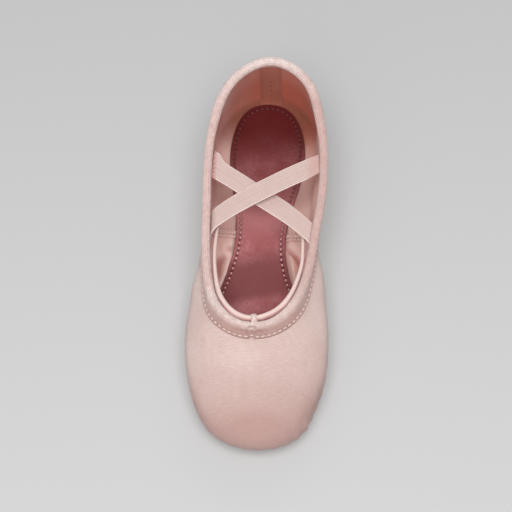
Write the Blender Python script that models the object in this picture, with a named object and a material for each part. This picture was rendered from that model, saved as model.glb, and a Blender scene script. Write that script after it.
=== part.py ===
"""Split-sole ballet slipper, right shoe: a soft canvas upper on two suede sole patches.

The toe points to -Y, the heel to +Y and the wearer's lateral side to -X; +Z is up.
The origin is on the floor, under the middle of the shoe. All sizes below are in
millimetres, and MM turns them into metres when a mesh is made.
"""
import math

import bmesh
import bpy
import numpy as np
from mathutils import Vector
from mathutils.bvhtree import BVHTree

MM = 0.001

# Driving sizes. The tables below are drawn for the pattern size, and are graded to these
LENGTH = 237.0
BALL_WIDTH = 81.6
HEEL_HEIGHT = 50.2    # of the canvas; the binding stands a little higher
PATTERN_SIZE = (81.6, 237.0, 50.2)
GRADE = np.array((BALL_WIDTH, LENGTH, HEEL_HEIGHT)) / PATTERN_SIZE
WALL = 1.4            # canvas and lining of the upper
SEAT = 0.3            # clearance between two pieces that lie on each other
SOLE_THICKNESS = 1.8
INSOLE_THICKNESS = 2.0
EDGE_LIFT = 0.15      # keeps the flat facets of the insole clear of the curved canvas
UNDERWRAP = 16.0      # how far the canvas turns in below the foot

# Shape of the upper's curves, as shares of the span that each crosses
TURN_FLAT = 0.80      # how far the turned-in canvas stays flat on the sole
TURN_UPRIGHT = 0.72   # how far it stands upright below the widest outline
END_HANDLE = 0.42     # how far it runs straight before the opening

# The underside lifts off the floor at the arch and at the toe
ARCH_RISE = 4.0
ARCH_MIDDLE = 25.0
ARCH_REACH = 34.0
TOE_SPRING = 2.4
SPRING_START = -79.0

# Collar binding
BINDING_DEPTH = 7.3   # outer leg, from the canvas edge down to its stitched edge
BINDING_CREST = 2.1   # rise of the roll over the canvas edge
ROLL_WIDTH = 5.0
LEG_THICKNESS = (0.8, 0.95, 1.3)

# Elastic pieces
DRAWCORD_DIAMETER = 3.2
STRAP_WIDTH = 12.2
STRAP_THICKNESS = 1.0
STRAP_LEG = 7.0

# The drawcord's distance in from the canvas edge on each side, where 0 is the throat
# and 1 the side seam, and its distance down from the edge
DRAWCORD_OFF_LATERAL = (
    (0.0, 5.9), (0.2, 5.9), (0.35, 5.6), (0.5, 5.6), (0.65, 5.2), (0.8, 5.1), (0.87, 5.5),
    (0.93, 6.4), (1.0, 7.8),
)
DRAWCORD_OFF_MEDIAL = (
    (0.0, 5.9), (0.2, 6.4), (0.4, 5.7), (0.75, 5.4), (0.82, 5.7), (0.9, 7.2), (1.0, 9.3),
)
DRAWCORD_DROP_THROAT = 0.6
DRAWCORD_DROP_SEAM = 5.2
DRAWCORD_COLUMNS = 21  # columns of the upper on each side of the throat
LOOP_WIDTH = 3.4      # of the canvas loop that holds it at the throat
LOOP_THICKNESS = 0.9
LOOP_CLEARANCE = 0.62 # round the drawcord, which bends within the loop's width
LOOP_ASIDE = 0.8      # from the middle of the throat, to the lateral side

# Each strap's lateral and medial end, and its rise between them. An end has: y of
# the strap's middle, radius of its fold, the length over which it swings, how far it
# swings along y, and how far its front and its rear edge flare there
STRAP_OVER = ((14.2, 4.6, 16.0, -1.5, 0.0, 0.0), (50.9, 1.5, 10.0, 0.0, 0.0, 0.0), 3.4)
STRAP_UNDER = ((48.9, 2.2, 12.0, 0.0, -0.8, 2.6), (9.4, 1.5, 20.0, -3.8, 0.0, 0.0), -0.5)
STRAP_DROP = 1.4      # from the canvas edge down to the strap
STRAP_TUCK = 0.15     # how far its ends tuck in under the roll

# Mesh density
AROUND = 80
LOWER_SPANS = 5
WALL_SPANS = 8
CROWD_LOW = 1.35      # over 1 puts more levels near the widest outline
BINDING_SPANS = 3
ARCH_SPANS = 6

# The upper's rows, from the heel seam along the lateral side to the toe and back
# along the medial side. x, y: widest outline. bulge: its height over the floor.
# top_x, top_y, top_z: canvas edge of the opening. lean: how far the wall tips
# inward there, in degrees. full: how far the wall stands upright before it turns.
UPPER_COLUMNS = ("name", "x", "y", "bulge", "top_x", "top_y", "top_z", "lean", "full")
UPPER_ROWS = (
    ("heel", 2.4, 118.5, 18.0, 2.8, 116.4, 50.2, 3.0, 0.38),
    ("lateral heel corner", -19.5, 107.2, 17.0, -18.4, 104.6, 48.7, 2.0, 0.38),
    ("lateral heel", -30.6, 85.2, 16.0, -28.4, 84.2, 45.3, 0.0, 0.38),
    ("lateral quarter", -31.6, 58.2, 15.0, -32.0, 58.2, 41.4, 0.0, 0.38),
    ("lateral waist", -31.6, 32.2, 14.5, -32.2, 32.2, 38.4, 6.0, 0.40),
    ("lateral joint", -34.6, 3.2, 14.0, -31.6, 8.2, 36.2, 4.0, 0.42),
    ("lateral instep", -38.9, -28.8, 13.5, -30.1, -15.8, 34.6, 8.0, 0.54),
    ("lateral ball", -40.6, -56.8, 13.0, -26.5, -34.3, 33.4, 28.0, 0.58),
    ("lateral toes", -36.2, -84.3, 11.5, -19.5, -45.6, 32.9, 60.0, 0.66),
    ("lateral toe corner", -23.0, -109.6, 10.5, -10.6, -51.9, 32.6, 74.0, 0.76),
    ("toe", 3.2, -118.5, 10.0, -0.9, -53.6, 32.5, 76.0, 0.82),
    ("medial toe corner", 27.2, -109.0, 10.5, 9.0, -51.2, 32.6, 73.0, 0.76),
    ("medial toes", 38.2, -84.3, 11.5, 17.8, -44.2, 32.9, 58.0, 0.66),
    ("medial ball", 41.0, -56.8, 13.0, 24.8, -33.2, 33.4, 26.0, 0.58),
    ("medial instep", 39.0, -28.8, 13.5, 29.9, -15.8, 34.6, 4.0, 0.54),
    ("medial joint", 34.2, 3.2, 14.0, 33.2, 8.2, 36.2, 2.0, 0.42),
    ("medial waist", 31.0, 32.2, 14.5, 36.2, 32.2, 38.4, 2.0, 0.40),
    ("medial quarter", 31.8, 58.2, 15.0, 36.4, 58.2, 41.4, 0.0, 0.38),
    ("medial heel", 32.6, 85.2, 16.0, 32.8, 84.2, 45.3, 0.0, 0.38),
    ("medial heel corner", 24.2, 107.4, 17.0, 24.0, 105.0, 48.8, 2.0, 0.38),
)
ARCH_FRONT = -25.0    # the canvas strip under the arch runs between these
ARCH_BACK = 83.0

# The insole's rows, in the same order. x, y: its edge
INSOLE_ROWS = (
    ("heel", 1.6, 111.8),
    ("lateral heel corner", -15.2, 104.2),
    ("lateral heel", -21.2, 80.2),
    ("lateral quarter", -18.6, 53.2),
    ("lateral waist", -14.9, 24.2),
    ("lateral joint", -19.0, -2.8),
    ("lateral instep", -27.0, -28.8),
    ("lateral ball", -30.6, -56.8),
    ("lateral toes", -25.0, -83.8),
    ("toe", 3.0, -103.3),
    ("medial toes", 27.6, -82.8),
    ("medial ball", 30.6, -55.8),
    ("medial instep", 24.0, -26.8),
    ("medial joint", 15.8, -0.8),
    ("medial waist", 14.9, 25.2),
    ("medial quarter", 20.6, 53.2),
    ("medial heel", 23.8, 80.2),
    ("medial heel corner", 17.6, 104.2),
)

# Edges of the two sole patches: the end nearer the heel, its lateral side, the end
# nearer the toe and its medial side
FOREFOOT_PATCH_ROWS = (
    ("tail", -1.0, -6.8),
    ("lateral tail", -17.0, -13.3),
    ("lateral shank", -26.0, -31.8),
    ("lateral ball", -30.0, -58.8),
    ("lateral toes", -24.6, -87.6),
    ("tip", 3.0, -107.0),
    ("medial toes", 27.4, -86.2),
    ("medial ball", 30.0, -56.8),
    ("medial shank", 24.5, -30.8),
    ("medial tail", 15.0, -13.3),
)
HEEL_PATCH_ROWS = (
    ("back", 1.6, 107.2),
    ("lateral back", -13.6, 100.2),
    ("lateral side", -19.6, 81.2),
    ("lateral tip", -12.6, 62.7),
    ("tip", 1.2, 57.2),
    ("medial tip", 14.6, 62.7),
    ("medial side", 22.0, 81.2),
    ("medial back", 16.6, 100.2),
)

# Colours (linear) and finishes
CANVAS = (0.76, 0.50, 0.455)
BINDING = (0.78, 0.55, 0.50)
SUEDE_ROSE = (0.37, 0.10, 0.12)
SOLE_SUEDE = (0.60, 0.43, 0.38)
ELASTIC = (0.74, 0.53, 0.48)


def clear_scene():
    """Remove what the file starts with."""
    for item in list(bpy.data.objects):
        bpy.data.objects.remove(item)


def closed_spline(points, samples):
    """A smooth closed curve through points (rows x columns), even in row number.

    Each column is a periodic cubic spline, so its slope and curvature run on
    through every row. Returns samples rows.
    """
    points = np.asarray(points, float)
    count = len(points)
    rise = np.roll(points, -1, 0) - np.roll(points, 1, 0)
    system = 4.0 * np.eye(count) + np.roll(np.eye(count), 1, 1) + np.roll(np.eye(count), -1, 1)
    slopes = np.linalg.solve(system, 3.0 * rise)
    at = np.arange(samples) * count / samples
    row = at.astype(int) % count
    nearby = (row + 1) % count
    t = (at - at.astype(int))[:, None]
    return (
        (2 * t ** 3 - 3 * t ** 2 + 1) * points[row]
        + (t ** 3 - 2 * t ** 2 + t) * slopes[row]
        + (3 * t ** 2 - 2 * t ** 3) * points[nearby]
        + (t ** 3 - t ** 2) * slopes[nearby]
    )


def unit(vectors):
    """Each vector at length 1."""
    return vectors / np.linalg.norm(vectors, axis=-1, keepdims=True)


def inward_normal(curve):
    """The level normal that points into a closed curve, at each of its points."""
    along = np.roll(curve, -1, 0) - np.roll(curve, 1, 0)
    normal = np.stack((-along[:, 1], along[:, 0], np.zeros(len(curve))), 1)
    centre = curve.mean(0)
    if np.sum(normal[:, :2] * (centre - curve)[:, :2]) < 0.0:
        normal = -normal
    return unit(normal)


def ground(y):
    """Height of the underside over the floor plane, along the length."""
    y = np.asarray(y, float)
    into_arch = np.clip(np.abs(y - ARCH_MIDDLE) / ARCH_REACH, 0.0, 1.0)
    arch = ARCH_RISE * np.cos(into_arch * math.pi / 2) ** 2
    toe = np.clip((SPRING_START - y) / (SPRING_START + LENGTH / 2), 0.0, None)
    return arch + TOE_SPRING * toe ** 2


def bezier(start, first, second, end, count):
    """count + 1 points of a cubic curve, for rows of control points."""
    t = np.linspace(0.0, 1.0, count + 1)[:, None, None]
    return (
        (1 - t) ** 3 * start
        + 3 * (1 - t) ** 2 * t * first
        + 3 * (1 - t) * t ** 2 * second
        + t ** 3 * end
    )


def resample(line, distances):
    """Points at the given distances along one polyline."""
    steps = np.linalg.norm(np.diff(line, axis=0), axis=1)
    run = np.concatenate(((0.0,), np.cumsum(steps)))
    return np.stack([np.interp(distances, run, line[:, axis]) for axis in range(3)], 1)


def upper_surface():
    """Outer skin of the upper, as levels x AROUND points, with its outward normals.

    Level 0 is the turned-in bottom edge and the last level the canvas edge of the
    opening. The last BINDING_SPANS levels are evenly spaced over BINDING_DEPTH.
    """
    table = closed_spline([row[1:] for row in UPPER_ROWS], AROUND)

    def column(*names):
        return table[:, [UPPER_COLUMNS.index(name) - 1 for name in names]]

    outline = column("x", "y", "bulge") * GRADE
    top = column("top_x", "top_y", "top_z") * GRADE
    lean = np.radians(column("lean"))
    full = column("full")
    up = np.array((0.0, 0.0, 1.0))

    under = inward_normal(outline)
    bottom = outline + UNDERWRAP * under
    bottom[:, 2] = SOLE_THICKNESS + SEAT + ground(bottom[:, 1])
    turned = bottom - TURN_FLAT * UNDERWRAP * under
    turned[:, 2] = SOLE_THICKNESS + SEAT + ground(turned[:, 1])
    drop = outline[:, 2:3] - turned[:, 2:3]
    lower = bezier(bottom, turned, outline - TURN_UPRIGHT * drop * up, outline, 24)

    rise = top[:, 2:3] - outline[:, 2:3]
    reach = np.linalg.norm(top - outline, axis=1, keepdims=True)
    slope = np.cos(lean) * up + np.sin(lean) * inward_normal(top)
    wall = bezier(outline, outline + full * rise * up, top - END_HANDLE * reach * slope, top, 60)

    levels = []
    for low, high in zip(lower.swapaxes(0, 1), wall.swapaxes(0, 1)):
        low_length = np.linalg.norm(np.diff(low, axis=0), axis=1).sum()
        high_length = np.linalg.norm(np.diff(high, axis=0), axis=1).sum()
        low_marks = np.linspace(0.0, low_length, LOWER_SPANS + 1)[:-1]
        body_share = np.linspace(0.0, 1.0, WALL_SPANS + 1)[:-1] ** CROWD_LOW
        body_marks = (high_length - BINDING_DEPTH) * body_share
        edge_marks = np.linspace(high_length - BINDING_DEPTH, high_length, BINDING_SPANS + 1)
        low_part = resample(low, low_marks)
        high_part = resample(high, np.concatenate((body_marks, edge_marks)))
        levels.append(np.concatenate((low_part, high_part)))
    skin = np.stack(levels, 1)

    around = np.roll(skin, -1, 1) - np.roll(skin, 1, 1)
    climb = np.gradient(skin, axis=0)
    normals = unit(np.cross(climb, around))
    outside = skin[LOWER_SPANS] - outline.mean(0)
    if np.sum(normals[LOWER_SPANS] * outside) < 0.0:
        normals = -normals
    return skin, normals


def slope_at_top(skin):
    """Unit direction in which the wall ends at the opening."""
    return unit(skin[-1] - skin[-2])


def make_material(name, colour, roughness):
    """A plain Principled material."""
    material = bpy.data.materials.new(name)
    material.use_nodes = True
    shader = material.node_tree.nodes["Principled BSDF"]
    shader.inputs["Base Color"].default_value = (*colour, 1.0)
    shader.inputs["Roughness"].default_value = roughness
    shader.inputs["Metallic"].default_value = 0.0
    return material


def make_object(name, points, faces, colour, roughness):
    """A mesh object from points in millimetres, with its faces turned outward."""
    mesh = bpy.data.meshes.new(name)
    mesh.from_pydata([tuple(point * MM) for point in points], [], faces)
    work = bmesh.new()
    work.from_mesh(mesh)
    bmesh.ops.recalc_face_normals(work, faces=work.faces)
    bmesh.ops.triangulate(work, faces=[face for face in work.faces if len(face.verts) == 4])
    work.to_mesh(mesh)
    work.free()
    mesh.shade_smooth()
    mesh.set_sharp_from_angle(angle=math.radians(50.0))
    item = bpy.data.objects.new(name, mesh)
    item.data.materials.append(make_material(name + "_finish", colour, roughness))
    bpy.context.scene.collection.objects.link(item)
    return item


def shell(outer, inner, faces):
    """Close a sheet: its outer faces, its inner faces and a rim along every edge."""
    count = len(outer)
    used = {}
    for face in faces:
        for start, end in zip(face, face[1:] + face[:1]):
            used[(start, end)] = True
    closed = list(faces)
    closed += [tuple(count + index for index in reversed(face)) for face in faces]
    for start, end in used:
        if (end, start) not in used:
            closed.append((end, start, count + start, count + end))
    return np.concatenate((outer, inner)), closed


def ring_faces(levels, around):
    """Quads between the levels of a closed grid."""
    faces = []
    for level in range(levels - 1):
        for column in range(around):
            after = (column + 1) % around
            low = level * around
            high = low + around
            faces.append((low + column, low + after, high + after, high + column))
    return faces


def arch_columns(skin):
    """Lateral columns whose bottom edge lies over the arch strip."""
    half = AROUND // 2
    edge = skin[0]
    return [
        column for column in range(1, half)
        if ARCH_FRONT <= edge[column, 1] <= ARCH_BACK
    ]


def make_upper(skin, normals):
    """The hollow canvas wall, with the strip that joins its sides below the arch."""
    levels = len(skin)
    outer = skin.reshape(-1, 3)
    inner = (skin - WALL * normals).reshape(-1, 3)
    faces = ring_faces(levels, AROUND)

    columns = arch_columns(skin)
    strip_outer = []
    rows = []
    for column in columns:
        left = skin[0, column]
        right = skin[0, AROUND - column]
        row = [column]
        for step in range(1, ARCH_SPANS):
            point = left + (right - left) * step / ARCH_SPANS
            point[2] = SOLE_THICKNESS + SEAT + ground(point[1])
            row.append(len(outer) + len(strip_outer))
            strip_outer.append(point)
        row.append(AROUND - column)
        rows.append(row)
    strip_outer = np.array(strip_outer)
    strip_inner = strip_outer + np.array((0.0, 0.0, WALL))
    for first, second in zip(rows, rows[1:]):
        for step in range(ARCH_SPANS):
            faces.append((second[step], first[step], first[step + 1], second[step + 1]))

    points, closed = shell(
        np.concatenate((outer, strip_outer)), np.concatenate((inner, strip_inner)), faces
    )
    make_object("upper", points, closed, CANVAS, 0.9)
    return BVHTree.FromPolygons([Vector(point) for point in points], closed)


def paired_plate(name, outline, base, thickness, colour, cross_spans):
    """A plate of even thickness with the given edge, laid on what is below it.

    outline is a closed curve from its heel end along the lateral side; point i and
    point -i face each other. base gives the height of the underside at each point.
    """
    count = len(outline)
    half = count // 2
    points = [outline[0]]
    rows = [[0] * (cross_spans + 1)]
    for index in range(1, half):
        row = []
        for step in range(cross_spans + 1):
            row.append(len(points))
            points.append(outline[index] + (outline[-index] - outline[index]) * step / cross_spans)
        rows.append(row)
    rows.append([len(points)] * (cross_spans + 1))
    points.append(outline[half])
    points = np.array(points)
    points[:, 2] = [base(point) for point in points]

    faces = []
    for first, second in zip(rows, rows[1:]):
        for step in range(cross_spans):
            corners = (first[step], first[step + 1], second[step + 1], second[step])
            faces.append(tuple(dict.fromkeys(corners)))
    upper_side = points + np.array((0.0, 0.0, thickness))
    verts, closed = shell(points, upper_side, faces)
    return make_object(name, verts, closed, colour, 0.95)


def sole_base(point):
    """Underside of a sole patch: flat on the floor, lifting only at the toe."""
    return ground(point[1]) if point[1] < SPRING_START else 0.0


def plate_outline(rows, samples):
    """A plate's smooth edge from its table of rows."""
    return closed_spline([(row[1], row[2], 0.0) for row in rows], samples) * GRADE


def make_soles():
    """The two suede patches of the split sole."""
    front = plate_outline(FOREFOOT_PATCH_ROWS, 48)
    paired_plate("forefoot_sole", front, sole_base, SOLE_THICKNESS, SOLE_SUEDE, 3)
    back = plate_outline(HEEL_PATCH_ROWS, 36)
    paired_plate("heel_sole", back, sole_base, SOLE_THICKNESS, SOLE_SUEDE, 2)


def make_insole(upper_tree):
    """The full-length sock, whose edge rides up a little on the turned-in canvas."""
    def base(point):
        level = SOLE_THICKNESS + SEAT + WALL + ground(point[1])
        above = Vector((point[0], point[1], level + 8.0))
        below = upper_tree.ray_cast(above, Vector((0.0, 0.0, -1.0)))[0]
        on_canvas = below.z + EDGE_LIFT if below else level
        return max(level, on_canvas) + SEAT

    outline = plate_outline(INSOLE_ROWS, 72)
    paired_plate("insole", outline, base, INSOLE_THICKNESS, SUEDE_ROSE, 4)


def make_binding(skin, normals):
    """The puffy fold of canvas that covers the edge of the opening on both sides.

    Its section is an arch round the canvas edge: an outer leg down to its stitched
    edge, a rounded roll on top, and a shorter leg inside.
    """
    slope = slope_at_top(skin)
    leg = range(-1 - BINDING_SPANS, 0)
    thickness = dict(zip(leg, LEG_THICKNESS + ((ROLL_WIDTH - WALL) / 2 - SEAT,)))
    middle = skin[-1] - WALL / 2 * normals[-1]

    def outside(level, distance):
        return skin[level] + distance * normals[level]

    def inside(level, distance):
        return skin[level] - (WALL + distance) * normals[level]

    section = [outside(level, SEAT + thickness[level]) for level in leg]
    for angle in (40.0, 90.0, 140.0):
        sideways = ROLL_WIDTH / 2 * math.cos(math.radians(angle))
        above = BINDING_CREST * math.sin(math.radians(angle))
        section.append(middle + sideways * normals[-1] + above * slope)
    section += [inside(level, SEAT + thickness[level]) for level in (-1, -2, -3)]
    section += [inside(level, SEAT) for level in (-3, -2)]
    section.append(inside(-1, SEAT) + SEAT * slope)
    section.append(outside(-1, SEAT) + SEAT * slope)
    section += [outside(level, SEAT) for level in (-2, -3, -4)]

    points = np.stack(section, 1).reshape(-1, 3)
    size = len(section)
    faces = []
    for column in range(AROUND):
        after = (column + 1) % AROUND
        for corner in range(size):
            beside = (corner + 1) % size
            faces.append((
                column * size + corner, column * size + beside,
                after * size + beside, after * size + corner,
            ))
    make_object("collar_binding", points, faces, BINDING, 0.9)


def smooth_line(points, samples):
    """A smooth open curve through a few points, by Catmull-Rom spans."""
    points = np.asarray(points, float)
    ends = np.concatenate((2 * points[:1] - points[1:2], points, 2 * points[-1:] - points[-2:-1]))
    at = np.linspace(0.0, len(points) - 1 - 1e-9, samples)
    span = at.astype(int)
    t = (at - span)[:, None]
    a, b, c, d = (ends[span + step] for step in range(4))
    return b + 0.5 * t * (c - a + t * (2 * a - 5 * b + 4 * c - d + t * (3 * (b - c) + d - a)))


def make_cord(name, route, diameter, colour):
    """A round cord along a route, with closed ends."""
    curve = bpy.data.curves.new(name, "CURVE")
    curve.dimensions = "3D"
    curve.bevel_depth = diameter / 2 * MM
    curve.bevel_resolution = 2
    curve.use_fill_caps = True
    spline = curve.splines.new("POLY")
    spline.points.add(len(route) - 1)
    for place, point in zip(spline.points, route):
        place.co = (*(point * MM), 1.0)
    item = bpy.data.objects.new(name, curve)
    curve.materials.append(make_material(name + "_finish", colour, 0.85))
    bpy.context.scene.collection.objects.link(item)


def make_drawcord(skin):
    """The covered elastic inside the front of the opening, from seam to seam."""
    top = skin[-1]
    inward = inward_normal(top)
    half = AROUND // 2
    route = []
    for column in range(half - DRAWCORD_COLUMNS, half + DRAWCORD_COLUMNS + 1):
        from_throat = abs(column - half) / DRAWCORD_COLUMNS
        table = DRAWCORD_OFF_LATERAL if column < half else DRAWCORD_OFF_MEDIAL
        off = np.interp(from_throat, *zip(*table))
        point = top[column] + off * inward[column]
        point[2] -= DRAWCORD_DROP_THROAT + (DRAWCORD_DROP_SEAM - DRAWCORD_DROP_THROAT) * from_throat ** 2
        route.append(point)
    route = smooth_line(route, 56)
    make_cord("drawcord", route, DRAWCORD_DIAMETER, ELASTIC)
    return route


def make_loop(skin, normals, drawcord):
    """The canvas loop at the throat: off the binding's roll and round the drawcord."""
    half = AROUND // 2
    edge = skin[-1][half]
    normal = normals[-1][half]
    slope = slope_at_top(skin)[half]
    middle = len(drawcord) // 2
    cord = drawcord[middle]
    across = unit(drawcord[middle + 1] - drawcord[middle - 1])
    up = np.array((0.0, 0.0, 1.0))
    rear = unit(np.cross(up, across))
    off = (ROLL_WIDTH - WALL) / 2 + SEAT + LOOP_THICKNESS / 2
    steps = ((off + 0.2, -3.4), (off + 0.15, -1.4), (off, 0.6), (off - 0.5, 2.2))
    route = [edge + above * normal + along * slope for above, along in steps]
    ring = DRAWCORD_DIAMETER / 2 + LOOP_CLEARANCE + LOOP_THICKNESS / 2
    for degrees in (105.0, 65.0, 25.0, -20.0, -65.0, -110.0, -145.0):
        angle = math.radians(degrees)
        route.append(cord + ring * (math.cos(angle) * rear + math.sin(angle) * up))
    line = smooth_line(route, 30)
    line -= np.outer((line - cord) @ across + LOOP_ASIDE, across)
    side = unit(np.cross(across, np.gradient(line, axis=0)))
    columns = (-LOOP_WIDTH / 2, 0.0, LOOP_WIDTH / 2)
    grid = np.array([[point + column * across for column in columns] for point in line])
    side = np.repeat(side[:, None], len(columns), 1)
    make_band("drawcord_loop", grid, side, LOOP_THICKNESS, BINDING)


def make_band(name, grid, normals, thickness, colour):
    """A flat band of even thickness about a grid of rows x columns."""
    rows, width = grid.shape[:2]
    upper_side = (grid + thickness / 2 * normals).reshape(-1, 3)
    lower_side = (grid - thickness / 2 * normals).reshape(-1, 3)
    faces = []
    for row in range(rows - 1):
        for column in range(width - 1):
            first = row * width + column
            faces.append((first, first + width, first + width + 1, first + 1))
    points, closed = shell(upper_side, lower_side, faces)
    make_object(name, points, closed, colour, 0.85)


def edge_at(skin, side, y):
    """Canvas edge and the wall's slope there, on one side of the opening, at y."""
    half = AROUND // 2
    columns = range(1, half) if side < 0 else range(AROUND - 1, half, -1)
    columns = [column for column in columns if skin[-1][column][1] > -30.0][::-1]
    known = skin[-1][columns][:, 1]
    slope = slope_at_top(skin)
    return tuple(
        np.array([np.interp(y, known, grid[columns][:, axis]) for axis in range(3)])
        for grid in (skin[-1], slope)
    )


def strap_point(skin, strap, share, across):
    """Middle of the strap's thickness: share runs from end to end, across from edge to edge.

    Between its two folds the strap spans the opening. Past a fold it turns down
    and lies along the inside of the binding.
    """
    lateral, medial, bow = strap
    off = (WALL + ROLL_WIDTH) / 2 + SEAT + STRAP_THICKNESS / 2 - STRAP_TUCK
    left = edge_at(skin, -1, lateral[0])[0]
    right = edge_at(skin, 1, medial[0])[0]
    start = left[:2] + (off, 0.0)
    end = right[:2] - (off, 0.0)
    run = end - start
    before = lateral[1] * (math.pi / 2 - 1.0) + STRAP_LEG
    after = medial[1] * (math.pi / 2 - 1.0) + STRAP_LEG
    x = start[0] - before + share * (run[0] + before + after)
    y = start[1] + (x - start[0]) * run[1] / run[0]
    y += across * STRAP_WIDTH / 2 * math.hypot(*run) / run[0]
    side = -1 if x < (start[0] + end[0]) / 2 else 1
    _, radius, reach, swing, front, rear = lateral if side < 0 else medial
    from_wall = x - start[0] if side < 0 else end[0] - x
    near = min(1.0, max(0.0, 1.0 - from_wall / reach)) ** 2
    y += near * (swing + (front if across < 0.0 else rear) * abs(across))
    edge, slope = edge_at(skin, side, y)
    wall_x = edge[0] - side * off
    fold_x = wall_x - side * radius
    turn = radius * math.pi / 2
    middle_share = (x - start[0]) / run[0]
    level = left[2] + (right[2] - left[2]) * middle_share - STRAP_DROP
    level += bow * max(0.0, 1.0 - (2.0 * middle_share - 1.0) ** 2)
    past = side * (x - fold_x)
    if past <= 0.0:
        return np.array((x, y, level))
    if past <= turn:
        angle = past / radius
        return np.array((
            fold_x + side * radius * math.sin(angle), y, level - radius * (1.0 - math.cos(angle)),
        ))
    down = past - turn
    along_wall = -down * slope
    return np.array((wall_x + along_wall[0], y, level - radius - down))


def make_strap(name, skin, strap):
    """One ribbed elastic across the opening."""
    columns = (-1.0, -1.0 / 3.0, 1.0 / 3.0, 1.0)
    shares = np.concatenate((
        np.linspace(0.0, 0.17, 9)[:-1], np.linspace(0.17, 0.83, 13), np.linspace(0.83, 1.0, 9)[1:],
    ))
    grid = np.array([
        [strap_point(skin, strap, share, across) for across in columns]
        for share in shares
    ])
    along = np.gradient(grid, axis=0)
    across = np.gradient(grid, axis=1)
    normal = unit(np.cross(along, across))
    make_band(name, grid, normal, STRAP_THICKNESS, ELASTIC)


def main():
    clear_scene()
    skin, normals = upper_surface()
    upper_tree = make_upper(skin, normals)
    make_soles()
    make_insole(upper_tree)
    make_binding(skin, normals)
    drawcord = make_drawcord(skin)
    make_loop(skin, normals, drawcord)
    make_strap("strap_over", skin, STRAP_OVER)
    make_strap("strap_under", skin, STRAP_UNDER)


main()
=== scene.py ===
"""Looks of the split-sole ballet slipper: cloth, suede, elastic and stitching on the CAD frame.

Lengths are in millimetres, and MM turns them into metres where a mesh or a material is
made; the lights and the floor alone are set in metres. The upper's tables are the model's
own, drawn on finer grids here. The toe points to -Y, the lateral side is -X, and the
origin is on the floor under the middle of the shoe.
"""
import math

import bpy
import numpy as np
from mathutils import Matrix, Vector
from mathutils.bvhtree import BVHTree


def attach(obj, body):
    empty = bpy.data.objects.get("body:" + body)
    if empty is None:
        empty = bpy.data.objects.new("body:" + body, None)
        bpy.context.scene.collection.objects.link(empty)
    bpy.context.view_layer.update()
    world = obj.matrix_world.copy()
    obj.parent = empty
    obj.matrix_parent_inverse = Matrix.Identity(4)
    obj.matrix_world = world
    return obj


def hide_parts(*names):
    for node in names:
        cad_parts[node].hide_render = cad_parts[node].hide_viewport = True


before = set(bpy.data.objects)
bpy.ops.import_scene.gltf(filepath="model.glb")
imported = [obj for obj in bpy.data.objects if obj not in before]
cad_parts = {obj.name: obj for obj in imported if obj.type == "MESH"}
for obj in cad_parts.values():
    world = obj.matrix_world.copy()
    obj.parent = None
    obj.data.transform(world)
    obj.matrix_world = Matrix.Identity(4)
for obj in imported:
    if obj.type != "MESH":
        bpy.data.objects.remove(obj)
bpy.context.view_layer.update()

MM = 0.001
UP = np.array((0.0, 0.0, 1.0))

# Camera: where it looks, from how far and from which side
CAMERA_TARGET = (-2.4, 2.2, 15.0)
CAMERA_DISTANCE = 1235.0
CAMERA_AZIMUTH = 5.2
CAMERA_ELEVATION = 60.05
CAMERA_ROLL = 3.36
CAMERA_LENS = 149.3
SENSOR = 36.0

# Lights, in metres: place, what each is aimed at, size and watts
AREA_LIGHTS = {
    "overhead": ((0.04, -0.45, 1.45), (0.0, 0.0, 0.0), (1.3, 1.2), 19.0),
    "rear_rim": ((0.15, 1.5, 0.85), (0.0, 0.10, 0.04), (1.4, 0.5), 3.4),
    "front_fill": ((-0.5, -1.4, 0.8), (0.0, 0.0, 0.02), (1.8, 1.0), 4.6),
}
WORLD_STRENGTH = 0.31
FLOOR_REACH = 2.6

# Sizes of the model
LENGTH = 237.0
WALL = 1.4
SEAT = 0.3              # gap between pieces that rest on each other
SOLE_THICKNESS = 1.8
INSOLE_THICKNESS = 2.0
EDGE_LIFT = 0.15
UNDERWRAP = 16.0        # canvas turned in under the shoe
TURN_FLAT = 0.80
TURN_UPRIGHT = 0.72
END_HANDLE = 0.42
ARCH_RISE = 4.0
ARCH_MIDDLE = 25.0
ARCH_REACH = 34.0
TOE_SPRING = 2.4
SPRING_START = -79.0
ARCH_FRONT = -25.0      # the canvas strip under the arch runs from here
ARCH_BACK = 83.0        # to here
BINDING_DEPTH = 7.3
CREST_HEIGHT = 2.1      # the binding's roll over the canvas edge
ROLL_WIDTH = 5.0
DRAWCORD_DIAMETER = 3.2
# How far the drawcord lies inside the edge: share of the way from throat to seam, distance
DRAWCORD_OFF_LATERAL = (
    (0.0, 5.9), (0.2, 5.9), (0.35, 5.6), (0.5, 5.6), (0.65, 5.2), (0.8, 5.1), (0.87, 5.5), (0.93, 6.4),
    (1.0, 7.8),
)
DRAWCORD_OFF_MEDIAL = (
    (0.0, 5.9), (0.2, 6.4), (0.4, 5.7), (0.75, 5.4), (0.82, 5.7), (0.9, 7.2), (1.0, 9.3),
)
DRAWCORD_DROP_THROAT = 0.6
DRAWCORD_DROP_SEAM = 5.2
CORD_SETTLED = (0.0, 0.42, 0.25)    # how far the cord sits forward and down at the throat
LOOP_WIDTH = 3.4
LOOP_THICKNESS = 0.9
LOOP_ASIDE = 0.8
STRAP_WIDTH = 12.2
STRAP_THICKNESS = 1.0
STRAP_LEG = 7.0         # length sewn down inside the binding
STRAP_DROP = 1.4
STRAP_TUCK = 0.95
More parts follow.
